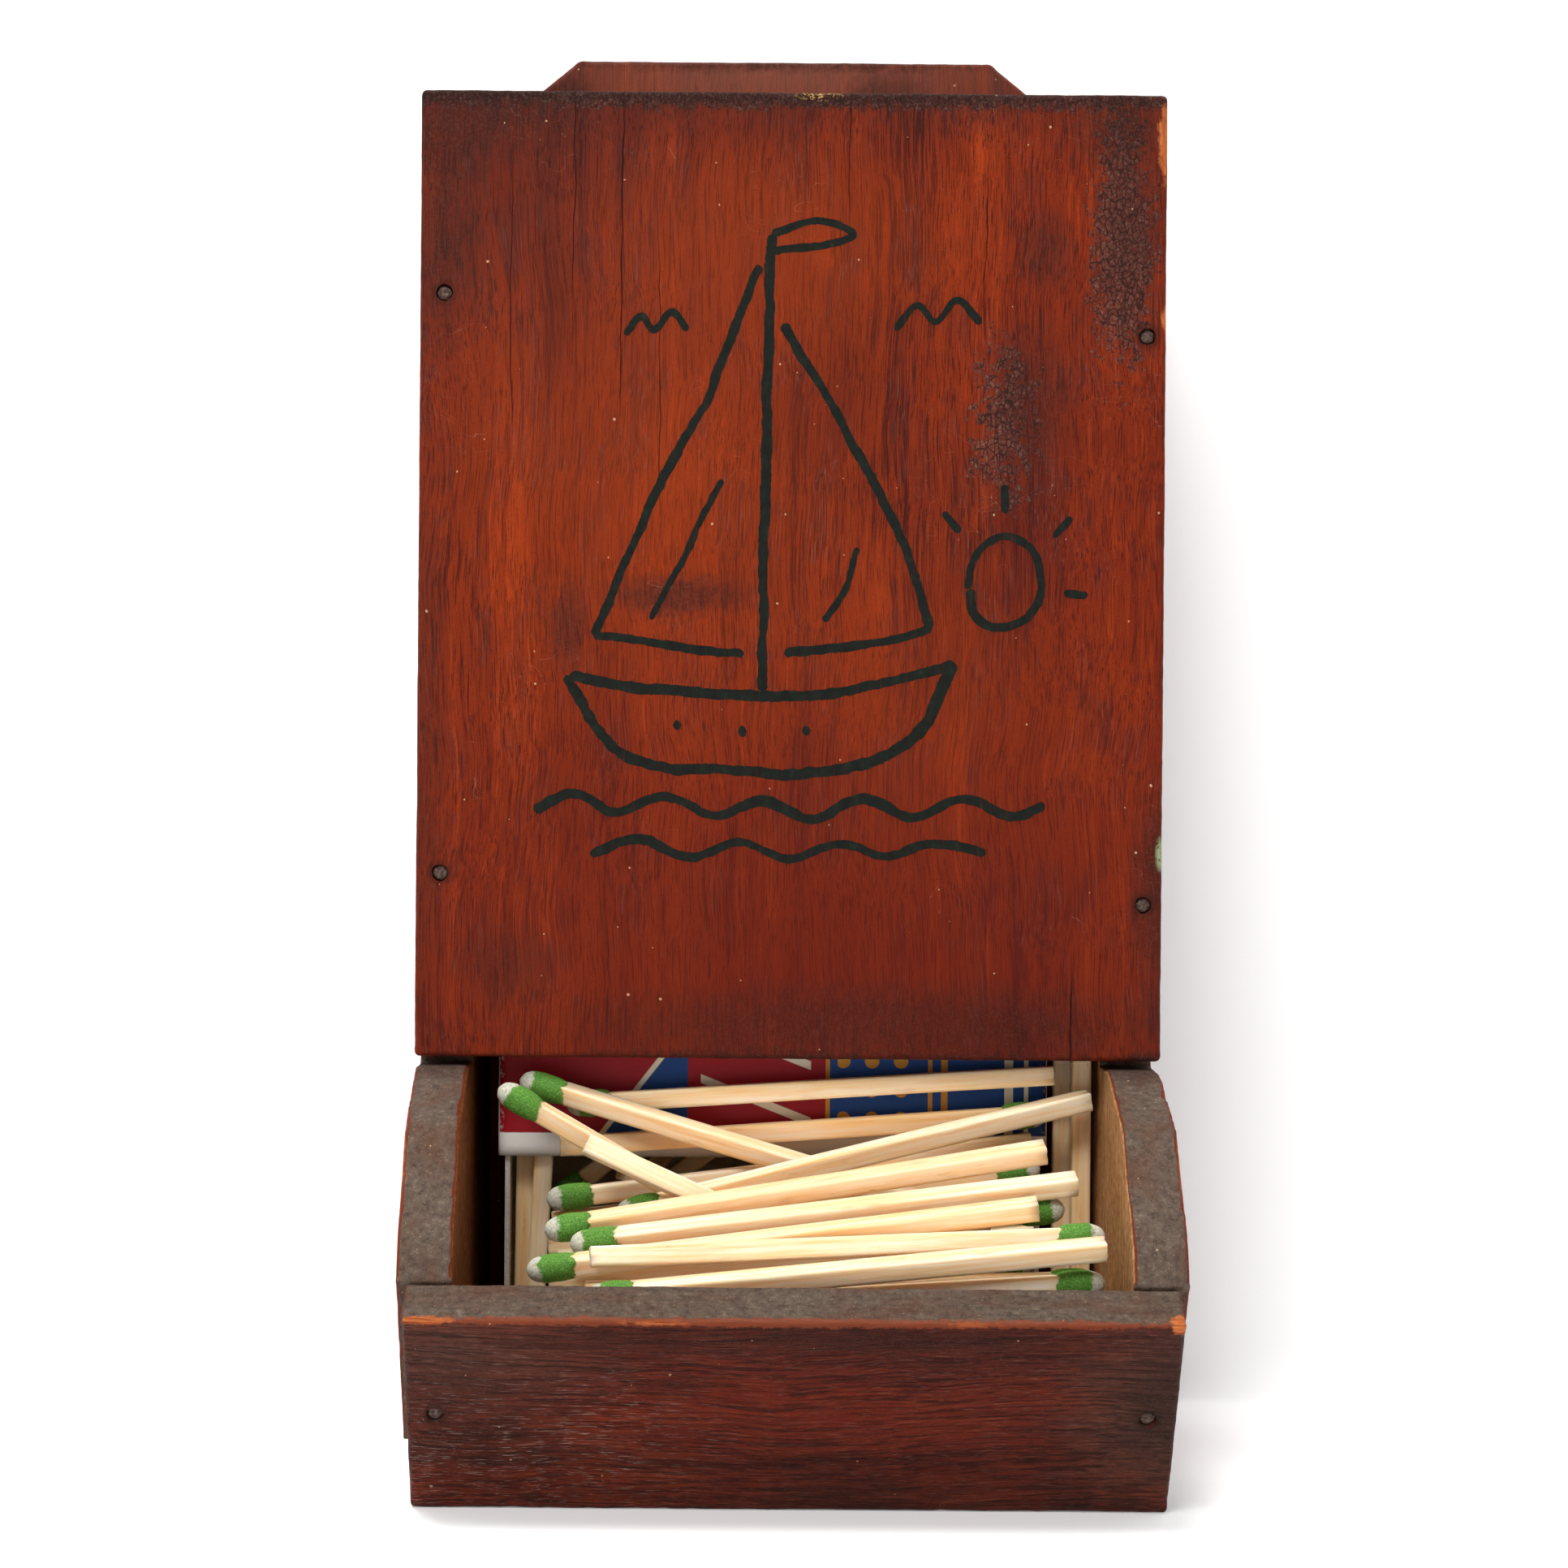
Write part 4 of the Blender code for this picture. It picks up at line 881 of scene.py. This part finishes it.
# Painted highlights: pale streaks for the glints of the raised grain, strongest at the lip's lower left
LIP_PAINTED_GLINTS = ((-38, -26, 8), (34, 24, 14), 1.2)
LIP_RIM = ((0, -33.8, 24.1), (120, 1.7, 1.5))
LIP_GRIME = (
    ((-40, -25, 14), (24, 14, 18), 0.50),
    ((43, -27, 14), (10, 14, 16), 0.65),
    ((0, -32, 22), (60, 6, 3.0), 0.50),
    ((8, -19, 2), (18, 12, 4), 0.35),
    ((0, -20, 0), (60, 12, 2.5), 0.20),
)
LIP_WEAR = (
    ((-41, -33.9, 24.0), (6, 1.5, 1.2), 0.9),
    ((43.2, -33.4, 24.2), (2.0, 3.0, 2.4), 1.0),
    ((-16, -33.9, 24.0), (8, 1.1, 1.0), 0.7),
    ((20, -33.9, 24.0), (6, 1.1, 1.0), 0.6),
    ((0, -28.4, 27.6), (60, 0.7, 0.7), 0.4),
)
low, high = span("tray_lip")
rear_top = np.array(LIP_TOP) - (LIP_SEAT, 0)
outer_top = rear_top - LIP_T * np.array([math.cos(LIP_LEAN), math.sin(LIP_LEAN)])
slope = math.tan(LIP_LEAN)
corners = [
    rear_top, outer_top, (outer_top[0] + outer_top[1] * slope, 0), (rear_top[0] + LIP_TOP[1] * slope, 0)
]
lip = board(
    "look_tray_lip", corners, (1, 2, 0), low[0], high[0], 21,
    wear=0.9, edge=0.7, middle_step=0.8, corner=0.7, waviness=0.10,
)
countersink(lip, "lip_nail")
wood = Wood("worn_stained_softwood_lip", "x", 11, LIP_STAIN)
wood.glow(LIP_GREY, "#553c31")
wood.glow(LIP_RED, "#6e2111")
ridges = wood.add("TexNoise", wood.add("VectorMath", wood.along, (1, 8, 2), operation="ADD"), 2.6, 3.0, 0.65)
wood.lay(wood.add("MapRange", ridges, 0.50, 0.42, 0.0, 0.65), "#190a08")
# Painted highlights: pale streaks along the grain stand for glints, strong at the lower left, faint all over
glints = wood.add("VectorMath", wood.along, (3.0, 1.0, 1.0), operation="MULTIPLY")
glints = wood.add("TexNoise", glints, 6.5, 2.0, 0.6)
sheen = wood.times(wood.add("MapRange", glints, 0.60, 0.68), wood.near(*LIP_PAINTED_GLINTS))
wood.lay(sheen, "#9a8880")
wood.lay(wood.add("MapRange", glints, 0.58, 0.68, 0.0, 0.25), "#916656")
wood.soot_and_shade(LIP_GRIME)
up = wood.add("NewGeometry").node.outputs["Normal"]
up = wood.add("VectorMath", up, (0.0, -math.sin(LIP_LEAN), math.cos(LIP_LEAN)), operation="DOT_PRODUCT")
wood.lay(wood.add("MapRange", up, 0.30, 0.62, 0.0, 0.75), "#6f3420", 0.7)
field = wood.sum_of((1.0, -0.5, 0.0), up, wood.ragged, 0.0)
wood.dusty(wood.add("MapRange", field, 0.42, 0.60, 0.0, 0.95))
rim = wood.sum_of((1.0, 1.0, 0.0), wood.near(*LIP_RIM), wood.ragged, 0.0)
wood.lay(wood.add("MapRange", rim, 0.92, 1.10, 0.0, 0.75), "#88432a", 0.6)
wood.bare(LIP_WEAR)
wood.stain_nails("lip_nail")
wood.crumbs(0.5)
wood.close(0.28)
fit(lip, ["tray_lip"], "holder", wood)


# Bottom board
# The tray's floor lies between the back board and the lip, cut to the lip's lean, and is nailed up into the
# sides with four brads. It is stained and scuffed like the lip.
FLOOR_SEAT = 0.36
FLOOR_GRIME = (((0, 20, 0), (50, 30, 3), 0.4),)
low, high = span("bottom_board")
front_y = rear_top[0] + LIP_TOP[1] * slope + FLOOR_SEAT
corners = [(high[1], low[2]), (high[1], high[2]), (front_y - high[2] * slope, high[2]), (front_y, low[2])]
bottom = board("look_bottom_board", corners, (1, 2, 0), low[0], high[0], 25, middle_step=3.0)
countersink(bottom, "floor_nail")
wood = Wood("worn_stained_softwood_bottom", "x", 12, LIP_STAIN)
wood.soot_and_shade(FLOOR_GRIME)
wood.stain_nails("floor_nail")
wood.crumbs()
wood.close()
fit(bottom, ["bottom_board"], "holder", wood)


# Matchbox sleeve
# The box's outer shell is one bent strip of printed card with rounded folds, open at both ends. Each narrow
# side carries a brown striking surface, and the raw card shows at the cut ends.
CARD_T = 0.6
FOLD_R = 1.1
SLEEVE_RINGS = 90
RED_INK, BLUE_INK, GOLD_INK, CREAM_INK, RAW_EDGE = "#9a0c18", "#16407e", "#c98a2c", "#e9dcc0", "#e8e4dc"
BAND_FROM, BAND_TO = -36.0, 33.0
BANDS = (  # each band of print starts at this x
    (-36.0, RED_INK),
    (-12.1, RED_INK),
    (4.7, GOLD_INK),
    (5.5, BLUE_INK),
    (17.5, GOLD_INK),
    (18.1, BLUE_INK),
    (19.1, GOLD_INK),
    (19.9, BLUE_INK),
    (27.0, CREAM_INK),
    (27.9, BLUE_INK),
    (29.4, CREAM_INK),
    (29.9, BLUE_INK),
)
WEDGE_TOP = 41.0  # where the blue wedge's slanting side, carried on, passes x = 0
WEDGE_SLOPE = -0.78
WEDGE_START = -22.2
WEDGE_LINE = 0.8
WEDGE_END = -12.0
DASHES = (-10.5, 3.2)
DOTS = (6.4, 16.6)
INK_EDGE = 0.1
TRIM_MARGIN = 3.0  # of raw card below the print
STRIKER_MARGIN = 3.0


def sleeve_skin(low, high):
    """The card's section, a rounded rectangle, carried up its outside and down its inside, which is set in by
    the card's thickness on each side. Noise dents both faces alike."""
    corners = [(low[0], low[1]), (high[0], low[1]), (high[0], high[1]), (low[0], high[1])]
    outline = rounded_outline(corners, FOLD_R, 0.9)[0]
    centre = (low[:2] + high[:2]) / 2
    inner = centre + (outline - centre) * (1 - 2 * CARD_T / (high - low)[:2])
    levels = np.linspace(low[2], high[2], SLEEVE_RINGS)
    shape = (SLEEVE_RINGS, len(outline))
    faces = []
    for flat, heights in ((outline, levels), (inner, levels[::-1])):
        columns = [np.broadcast_to(flat[:, i], shape) for i in (0, 1)]
        faces.append(np.stack(columns + [np.broadcast_to(heights[:, None], shape)], -1))
    rows = np.concatenate(faces)
    toward = centre - rows[..., :2]
    toward = toward / np.abs(toward).max(-1, keepdims=True)
    dent = 0.10 + 0.10 * noise(rows * (0.06, 0.06, 0.045), 3)
    rows[..., :2] += toward * dent[..., None] * np.array([0.6, 1.0])
    count = rows.shape[0] * rows.shape[1]
    return rows.reshape(-1, 3), grid_faces(rows.shape[0] + 1, len(outline)) % count


# Offset-printed card has flat, saturated inks under a soft varnish sheen, and is white or grey where cut
low, high = span("matchbox_sleeve")
card = Finish("printed_card", 0.42, 0.15)
grain = card.add("TexNoise", card.place, 1.4, 4.0, 0.7)
run = card.add("MapRange", card.x, BAND_FROM, BAND_TO)
bands = [((place - BAND_FROM) / (BAND_TO - BAND_FROM), code) for place, code in BANDS]
ink = card.add("ValToRGB", run, stops=bands)
ink.node.color_ramp.interpolation = "CONSTANT"
slant = card.add("Math", card.z, WEDGE_TOP, operation="SUBTRACT")
slant = card.add("Math", slant, WEDGE_SLOPE, card.x, operation="MULTIPLY_ADD")
left = card.add("MapRange", card.x, WEDGE_END, WEDGE_END - INK_EDGE)
wedge = card.times(card.add("MapRange", slant, WEDGE_START, WEDGE_START + INK_EDGE), left)
line = card.times(card.between(slant, WEDGE_START - WEDGE_LINE, WEDGE_START + INK_EDGE, INK_EDGE), left)
ripple = card.add("Math", card.x, 0.35, operation="MULTIPLY")
ripple = card.add("Math", card.z, 0.9, ripple, operation="MULTIPLY_ADD")
ripple = card.add("Math", ripple, operation="SINE")
ripple = card.times(card.add("MapRange", ripple, 0.86, 0.90), card.between(card.x, *DASHES, INK_EDGE))
lattice = card.add("VectorMath", card.place, (0.28, 0.0, 0.28), operation="MULTIPLY")
dots = card.add("TexVoronoi", lattice, 1.0)
dots.node.inputs["Randomness"].default_value = 0.0
dots = card.add("MapRange", dots, 0.26, 0.24)
dots = card.between(card.x, *DOTS, INK_EDGE, dots)
margin = card.sum_of((1.0, 0.15, 0.0), card.z, grain, 0.0)
margin = card.add("MapRange", margin, low[2] + TRIM_MARGIN, low[2] + TRIM_MARGIN - INK_EDGE)
faces = card.add("VectorMath", card.add("NewGeometry").node.outputs["Normal"], operation="ABSOLUTE")
nx, ny, nz = card.add("SeparateXYZ", faces).node.outputs
strip = card.add("MapRange", nx, 0.75, 0.9)
inset = card.between(card.y, low[1] + STRIKER_MARGIN, high[1] - STRIKER_MARGIN, INK_EDGE)
striker = card.add("TexNoise", card.place, 6.0, 3.0, 0.7)
striker = card.add("ValToRGB", striker, stops=((0.3, "#241412"), (0.55, "#43251f"), (0.75, "#6d463c")))
away = card.add("VectorMath", card.place, tuple((low + high) / 2), operation="SUBTRACT")
away = card.add("SeparateXYZ", card.add("VectorMath", away, operation="ABSOLUTE")).node.outputs
half = (high - low) / 2
inside = card.times(*(card.add("MapRange", away[i], half[i] - 0.4, half[i] - CARD_T) for i in (0, 1)))
worn = card.add("MapRange", grain, 0.52, 0.62)
rubbed = card.times(card.add("MapRange", card.times(nx, ny), 0.2, 0.45), worn)
bare = card.largest(inside, card.add("MapRange", nz, 0.5, 0.8), rubbed)
raw = card.add("ValToRGB", grain, stops=((0.3, "#a89f90"), (0.7, "#c9c1b2")))
card.set(
    Base_Color=card.coat(
        ink,
        (wedge, BLUE_INK),
        (line, CREAM_INK),
        (ripple, CREAM_INK),
        (dots, GOLD_INK),
        (margin, RAW_EDGE),
        (strip, RAW_EDGE),
        (card.times(strip, inset), striker),
        (bare, raw),
    ),
    Roughness=card.add("MapRange", card.largest(bare, strip), 0.0, 1.0, 0.42, 0.85),
)
card.relief(grain, 0.03)
sleeve = mesh_object("look_matchbox_sleeve", *sleeve_skin(low, high))
fit(sleeve, ["matchbox_sleeve"], "sleeve", card)


# Matchbox drawer
# A tray of plain grey card, folded up at its sides and open to the front, that slides in the sleeve. Its CAD
# shape is right, so it only gets its finish: soft, fibrous and matt, a little foxed.
PULP = ((0.3, "#beb6a8"), (0.5, "#d8d1c5"), (0.7, "#ebe5db"))
grey_card = Finish("grey_card", 0.85, 0.2)
fine = grey_card.add("TexNoise", grey_card.place, 4.0, 5.0, 0.75)
wide = grey_card.add("TexNoise", grey_card.place, 0.12, 3.0)
pulp = grey_card.add("ValToRGB", fine, stops=PULP)
foxed = grey_card.add("MapRange", wide, 0.45, 0.7, 0.0, 0.3)
grey_card.set(Base_Color=grey_card.coat(pulp, (foxed, "#a89a84")))
grey_card.relief(fine, 0.04)
nodes["matchbox_drawer"].data.materials.clear()
nodes["matchbox_drawer"].data.materials.append(grey_card.material)


# Matches
# Kitchen matches split from aspen and left square, their ends snapped off. Each head was dipped in green
# compound, and its tip once more in grey.
STICK = 2.35
HEAD_D = 3.5
HEAD_LENGTH = 5.8
TIP_LENGTH = 1.9  # of the second dip
HEAD_NECK = 0.8  # how far before the head the rings get finer
FINE_STEP = 0.22
DOME = 1.2  # the rounded end of the head, which closes on a tiny circle
TIP_GAP = 0.004
TIP_R = 0.02
BORDER_SHIFT = 0.25
CORE_END = 1.93  # the stick ends this far before the tip
SQUARENESS = 16  # the power of the stick's superellipse
TAIL_START = 0.12
PIT_SHARES = (0.12, 0.45, 0.8)  # the radii of the snapped end's rings
PALE_WOOD = ((0.30, "#f6c283"), (0.44, "#fdd7a4"), (0.56, "#ffe8c9"), (0.70, "#fff2e2"))
GREEN_DIP = ((0.30, "#325c1a"), (0.46, "#4d8029"), (0.58, "#659b3b"), (0.72, "#92bd63"))
GREY_DIP = ((0.28, "#8b8d7c"), (0.42, "#bcbba9"), (0.60, "#d2cfc0"), (0.8, "#ebe8dc"))
LAYER_STEP = 3.8
LAYER_SKEW = 0.62
LAYER_ROLL = math.radians(48)
LAYER_SEAT = 0.06
LAYER_RING_STEP = 4.0
LAYER_SPOKES = 20
SEED_STEP = 20  # each node's matches have their own seeds
# The head's outline: shares of its length from its border, and of its radius
HEAD_SHARES = (
    (0.0, 0.60), (0.05, 0.86), (0.14, 0.94), (0.28, 0.985), (0.42, 1.0), (0.56, 0.985),
    (0.70, 0.93), (0.82, 0.80), (0.91, 0.62), (0.97, 0.36), (1.0, 0.0),
)


def match_skin(tail, tip, corner, seed, step=1.6, around=32):
    """One match from its tail to its tip. Its section is a superellipse, nearly square, whose split faces are
    roughened by noise drawn out along it. Where the dip's ragged border has passed, the radius is the larger
    of the stick and the head's round outline. Corner is the direction of one of the stick's edges."""
    way = tip - tail
    length = np.linalg.norm(way)
    way = way / length
    corner = corner - way * (corner @ way)
    corner = corner / np.linalg.norm(corner)
    other = np.cross(way, corner)
    first, second = (corner + other) / math.sqrt(2), (other - corner) / math.sqrt(2)
    head_start = length - HEAD_LENGTH
    stick = np.arange(TAIL_START, head_start - HEAD_NECK, step)
    head = np.arange(head_start - HEAD_NECK, length - DOME, FINE_STEP)
    dome = length - DOME * np.cos(np.linspace(0, np.pi / 2, 9)) ** 1.5
    along = np.concatenate([[0.0], stick, head, dome[:-1], [length - TIP_GAP]])
    angle = np.linspace(0, 2 * np.pi, around, endpoint=False)
    s, a = np.meshgrid(along, angle, indexing="ij")
    cos, sin = np.cos(a), np.sin(a)
    square = STICK / 2 / (np.abs(cos) ** SQUARENESS + np.abs(sin) ** SQUARENESS) ** (1 / SQUARENESS)
    split = np.stack([cos * 2.6, sin * 2.6, s * 0.07], -1)
    square = square * (1 - 0.012 - 0.022 * noise(split, seed) - 0.012 * noise(split * 2.3, seed + 1))
    square = square * np.where(s < 0.1, 0.95, 1.0)
    ragged = 0.42 * noise(np.stack([cos * 1.5, sin * 1.5, s * 0.35], -1), seed + 2)
    paint = s - head_start + ragged - BORDER_SHIFT
    shares = np.array(HEAD_SHARES).T
    dip = np.interp(np.clip(paint, 0, HEAD_LENGTH) / HEAD_LENGTH, *shares) * HEAD_D / 2
    whole = np.interp((s - head_start) / HEAD_LENGTH, *shares) * HEAD_D / 2
    lumps = np.stack([cos * 1.9, sin * 1.9, s * 0.9], -1)
    dip = np.minimum(dip, np.where(s > length - 2.4, whole, dip))
    dip = dip * (0.965 + 0.035 * noise(lumps, seed + 3) - 0.012 * noise(lumps * 4, seed + 4))
    core = np.where(s < length - CORE_END, np.minimum(square, HEAD_D / 2 * 0.97), 0)
    radius = np.where(paint > 0, np.maximum(dip, core), square)
    radius = np.where(s > length - 2 * TIP_GAP, TIP_R, radius)
    s = s + np.where(s == 0, 0.10 + 0.12 * noise(np.stack([cos * 3.3, sin * 3.3], -1), seed + 5), 0)
    # The snapped end: three rings drawn in from the tail's rim, pitted by noise
    shrink = np.array(PIT_SHARES)[:, None]
    pit = 0.07 + 0.10 * noise(
        np.stack([shrink * 4 * np.cos(angle), shrink * 4 * np.sin(angle)], -1), seed + 6
    )
    s, radius = np.concatenate([pit, s]), np.concatenate([shrink * radius[0], radius])
    cos, sin = np.broadcast_to(np.cos(angle), s.shape), np.broadcast_to(np.sin(angle), s.shape)
    cos, sin = radius * cos, radius * sin
    points = tail + s[..., None] * way + cos[..., None] * first + sin[..., None] * second
    grain = np.stack([s, cos, sin], -1).reshape(-1, 3) + seed * np.array([17.3, 5.1, 9.7])
    paint = np.concatenate([np.full((len(PIT_SHARES), around), -50.0), paint])
    caps = [list(range(around)), list(range(s.size - around, s.size))]
    tone = np.full(s.size, noise(np.array([[seed * 3.71, 0.5]]), 5)[0] * 0.5 + 0.5)
    attributes = {"grain": grain, "paint": paint.ravel(), "tone": tone}
    return points.reshape(-1, 3), grid_faces(len(s), around), caps, attributes


def match_line(points):
    """The tail's centre, the head's tip and the direction of one edge of a CAD match. Its vertices spread the
    most along its length."""
    middle = points.mean(0)
    way = np.linalg.svd(points - middle, full_matrices=False)[2][0]
    along = (points - middle) @ way
    wide = np.linalg.norm(points - middle - along[:, None] * way, axis=1)
    if wide[along > along.max() - 0.1].max() > 0.8:
        along = -along
    square = np.unique(np.round(points[along < along.min() + 0.1], 4), axis=0)
    tail = square.mean(0)
    return tail, points[np.argmax(along)], square[0] - tail


# Split aspen is pale cream and silky, with fine grain along it, a few brown flecks, and light that seeps into
# it. The dipped compound is matt and gritty, and its grey tip is pitted.
aspen = Finish("aspen", 0.55, 0.3)
local = aspen.add("Attribute", attribute_name="grain").node.outputs["Vector"]
tone = aspen.add("Attribute", attribute_name="tone").node.outputs["Fac"]
border = aspen.add("Attribute", attribute_name="paint").node.outputs["Fac"]
along = aspen.add("VectorMath", local, (0.04, 1.0, 1.0), operation="MULTIPLY")
fibre = aspen.add("TexNoise", along, 3.0, 3.0, 0.6)
streak = aspen.add("TexNoise", along, 0.8, 2.0)
silk = aspen.sum_of((0.5, 0.5, 0.0), fibre, streak, 0.0)
wood = aspen.add("ValToRGB", silk, stops=PALE_WOOD)
knots = aspen.add("VectorMath", local, (0.16, 0.8, 0.8), operation="MULTIPLY")
knots = aspen.add("TexNoise", knots, 1.0, 2.0)
flecks = aspen.add("VectorMath", local, (0.5, 2.4, 2.4), operation="MULTIPLY")
flecks = aspen.add("TexNoise", flecks, 1.0, 1.0)
ragged = aspen.add("TexNoise", local, 1.6, 4.0, 0.7)
ragged = aspen.add("Math", ragged, 0.5, operation="SUBTRACT")
edge = aspen.add("Math", ragged, 1.4, border, operation="MULTIPLY_ADD")
wood = aspen.coat(
    wood,
    (aspen.add("MapRange", tone, 0.35, 0.95, 0.0, 0.50), "#fab766"),
    (aspen.add("MapRange", knots, 0.66, 0.76, 0.0, 0.35), "#bd8f52"),
    (aspen.add("MapRange", flecks, 0.76, 0.82, 0.0, 0.40), "#8a5a2c"),
    (aspen.add("MapRange", edge, -1.2, 0.0, 0.0, 0.22), "#cdb078"),
)
grit = aspen.add("TexNoise", local, 5.5, 4.0, 0.7)
green = aspen.add("ValToRGB", grit, stops=GREEN_DIP)
chalk = aspen.add("TexNoise", local, 3.4, 4.0, 0.7)
grey = aspen.add("ValToRGB", chalk, stops=GREY_DIP)
pits = aspen.add("MapRange", aspen.add("TexVoronoi", local, 2.3), 0.16, 0.08, 0.0, 0.8)
grey = aspen.coat(grey, (pits, "#4c5046"))
dipped = aspen.add("MapRange", edge, -0.08, 0.10)
tip_start = HEAD_LENGTH - TIP_LENGTH
tipped = aspen.add("MapRange", edge, tip_start - 0.15, tip_start + 0.15)
aspen.set(
    Base_Color=aspen.coat(wood, (dipped, aspen.coat(green, (tipped, grey)))),
    Roughness=aspen.add("MapRange", dipped, 0.0, 1.0, 0.5, 0.72),
)
aspen.shader.inputs["Subsurface Weight"].default_value = 0.4
aspen.shader.inputs["Subsurface Radius"].default_value = (1.0, 0.6, 0.3)
aspen.shader.inputs["Subsurface Scale"].default_value = 1.6 * MM
bare = aspen.add("Math", 1.0, dipped, operation="SUBTRACT")
rough = aspen.sum_of((0.4, 1.0, 0.5), aspen.times(bare, fibre), aspen.times(dipped, grit), dipped)
aspen.relief(rough, 0.08)

bodies = frame["record"]["behaviour"]["bodies"]
body_of = {node: body for body, members in bodies.items() for node in members}
for number, name in enumerate(sorted(n for n in nodes if n.startswith("match_"))):
    if "layer" in name:
        # A layer's matches lie side by side, their heads at alternate ends and skewed to the rear
        low, high = span(name)
        count = round((high[1] - low[1] - HEAD_D - 2 * LAYER_SKEW) / LAYER_STEP) + 1
        level = low[2] + HEAD_D / 2
        roll = np.array([0, math.cos(LAYER_ROLL), math.sin(LAYER_ROLL)])
        skins = []
        for i in range(count):
            y = high[1] - HEAD_D / 2 - LAYER_SKEW + LAYER_SEAT - (count - 1 - i) * LAYER_STEP
            tip_x, tail_x = (high[0], low[0]) if i % 2 == 0 else (low[0], high[0])
            tail, tip = np.array([tail_x, y - LAYER_SKEW, level]), np.array([tip_x, y + LAYER_SKEW, level])
            skins.append(match_skin(tail, tip, roll, number * SEED_STEP + i, LAYER_RING_STEP, LAYER_SPOKES))
        skin = merged(skins)
    else:
        skin = match_skin(*match_line(node_points(name)), number * SEED_STEP)
    fit(mesh_object("look_" + name, *skin), [name], body_of[name], aspen)
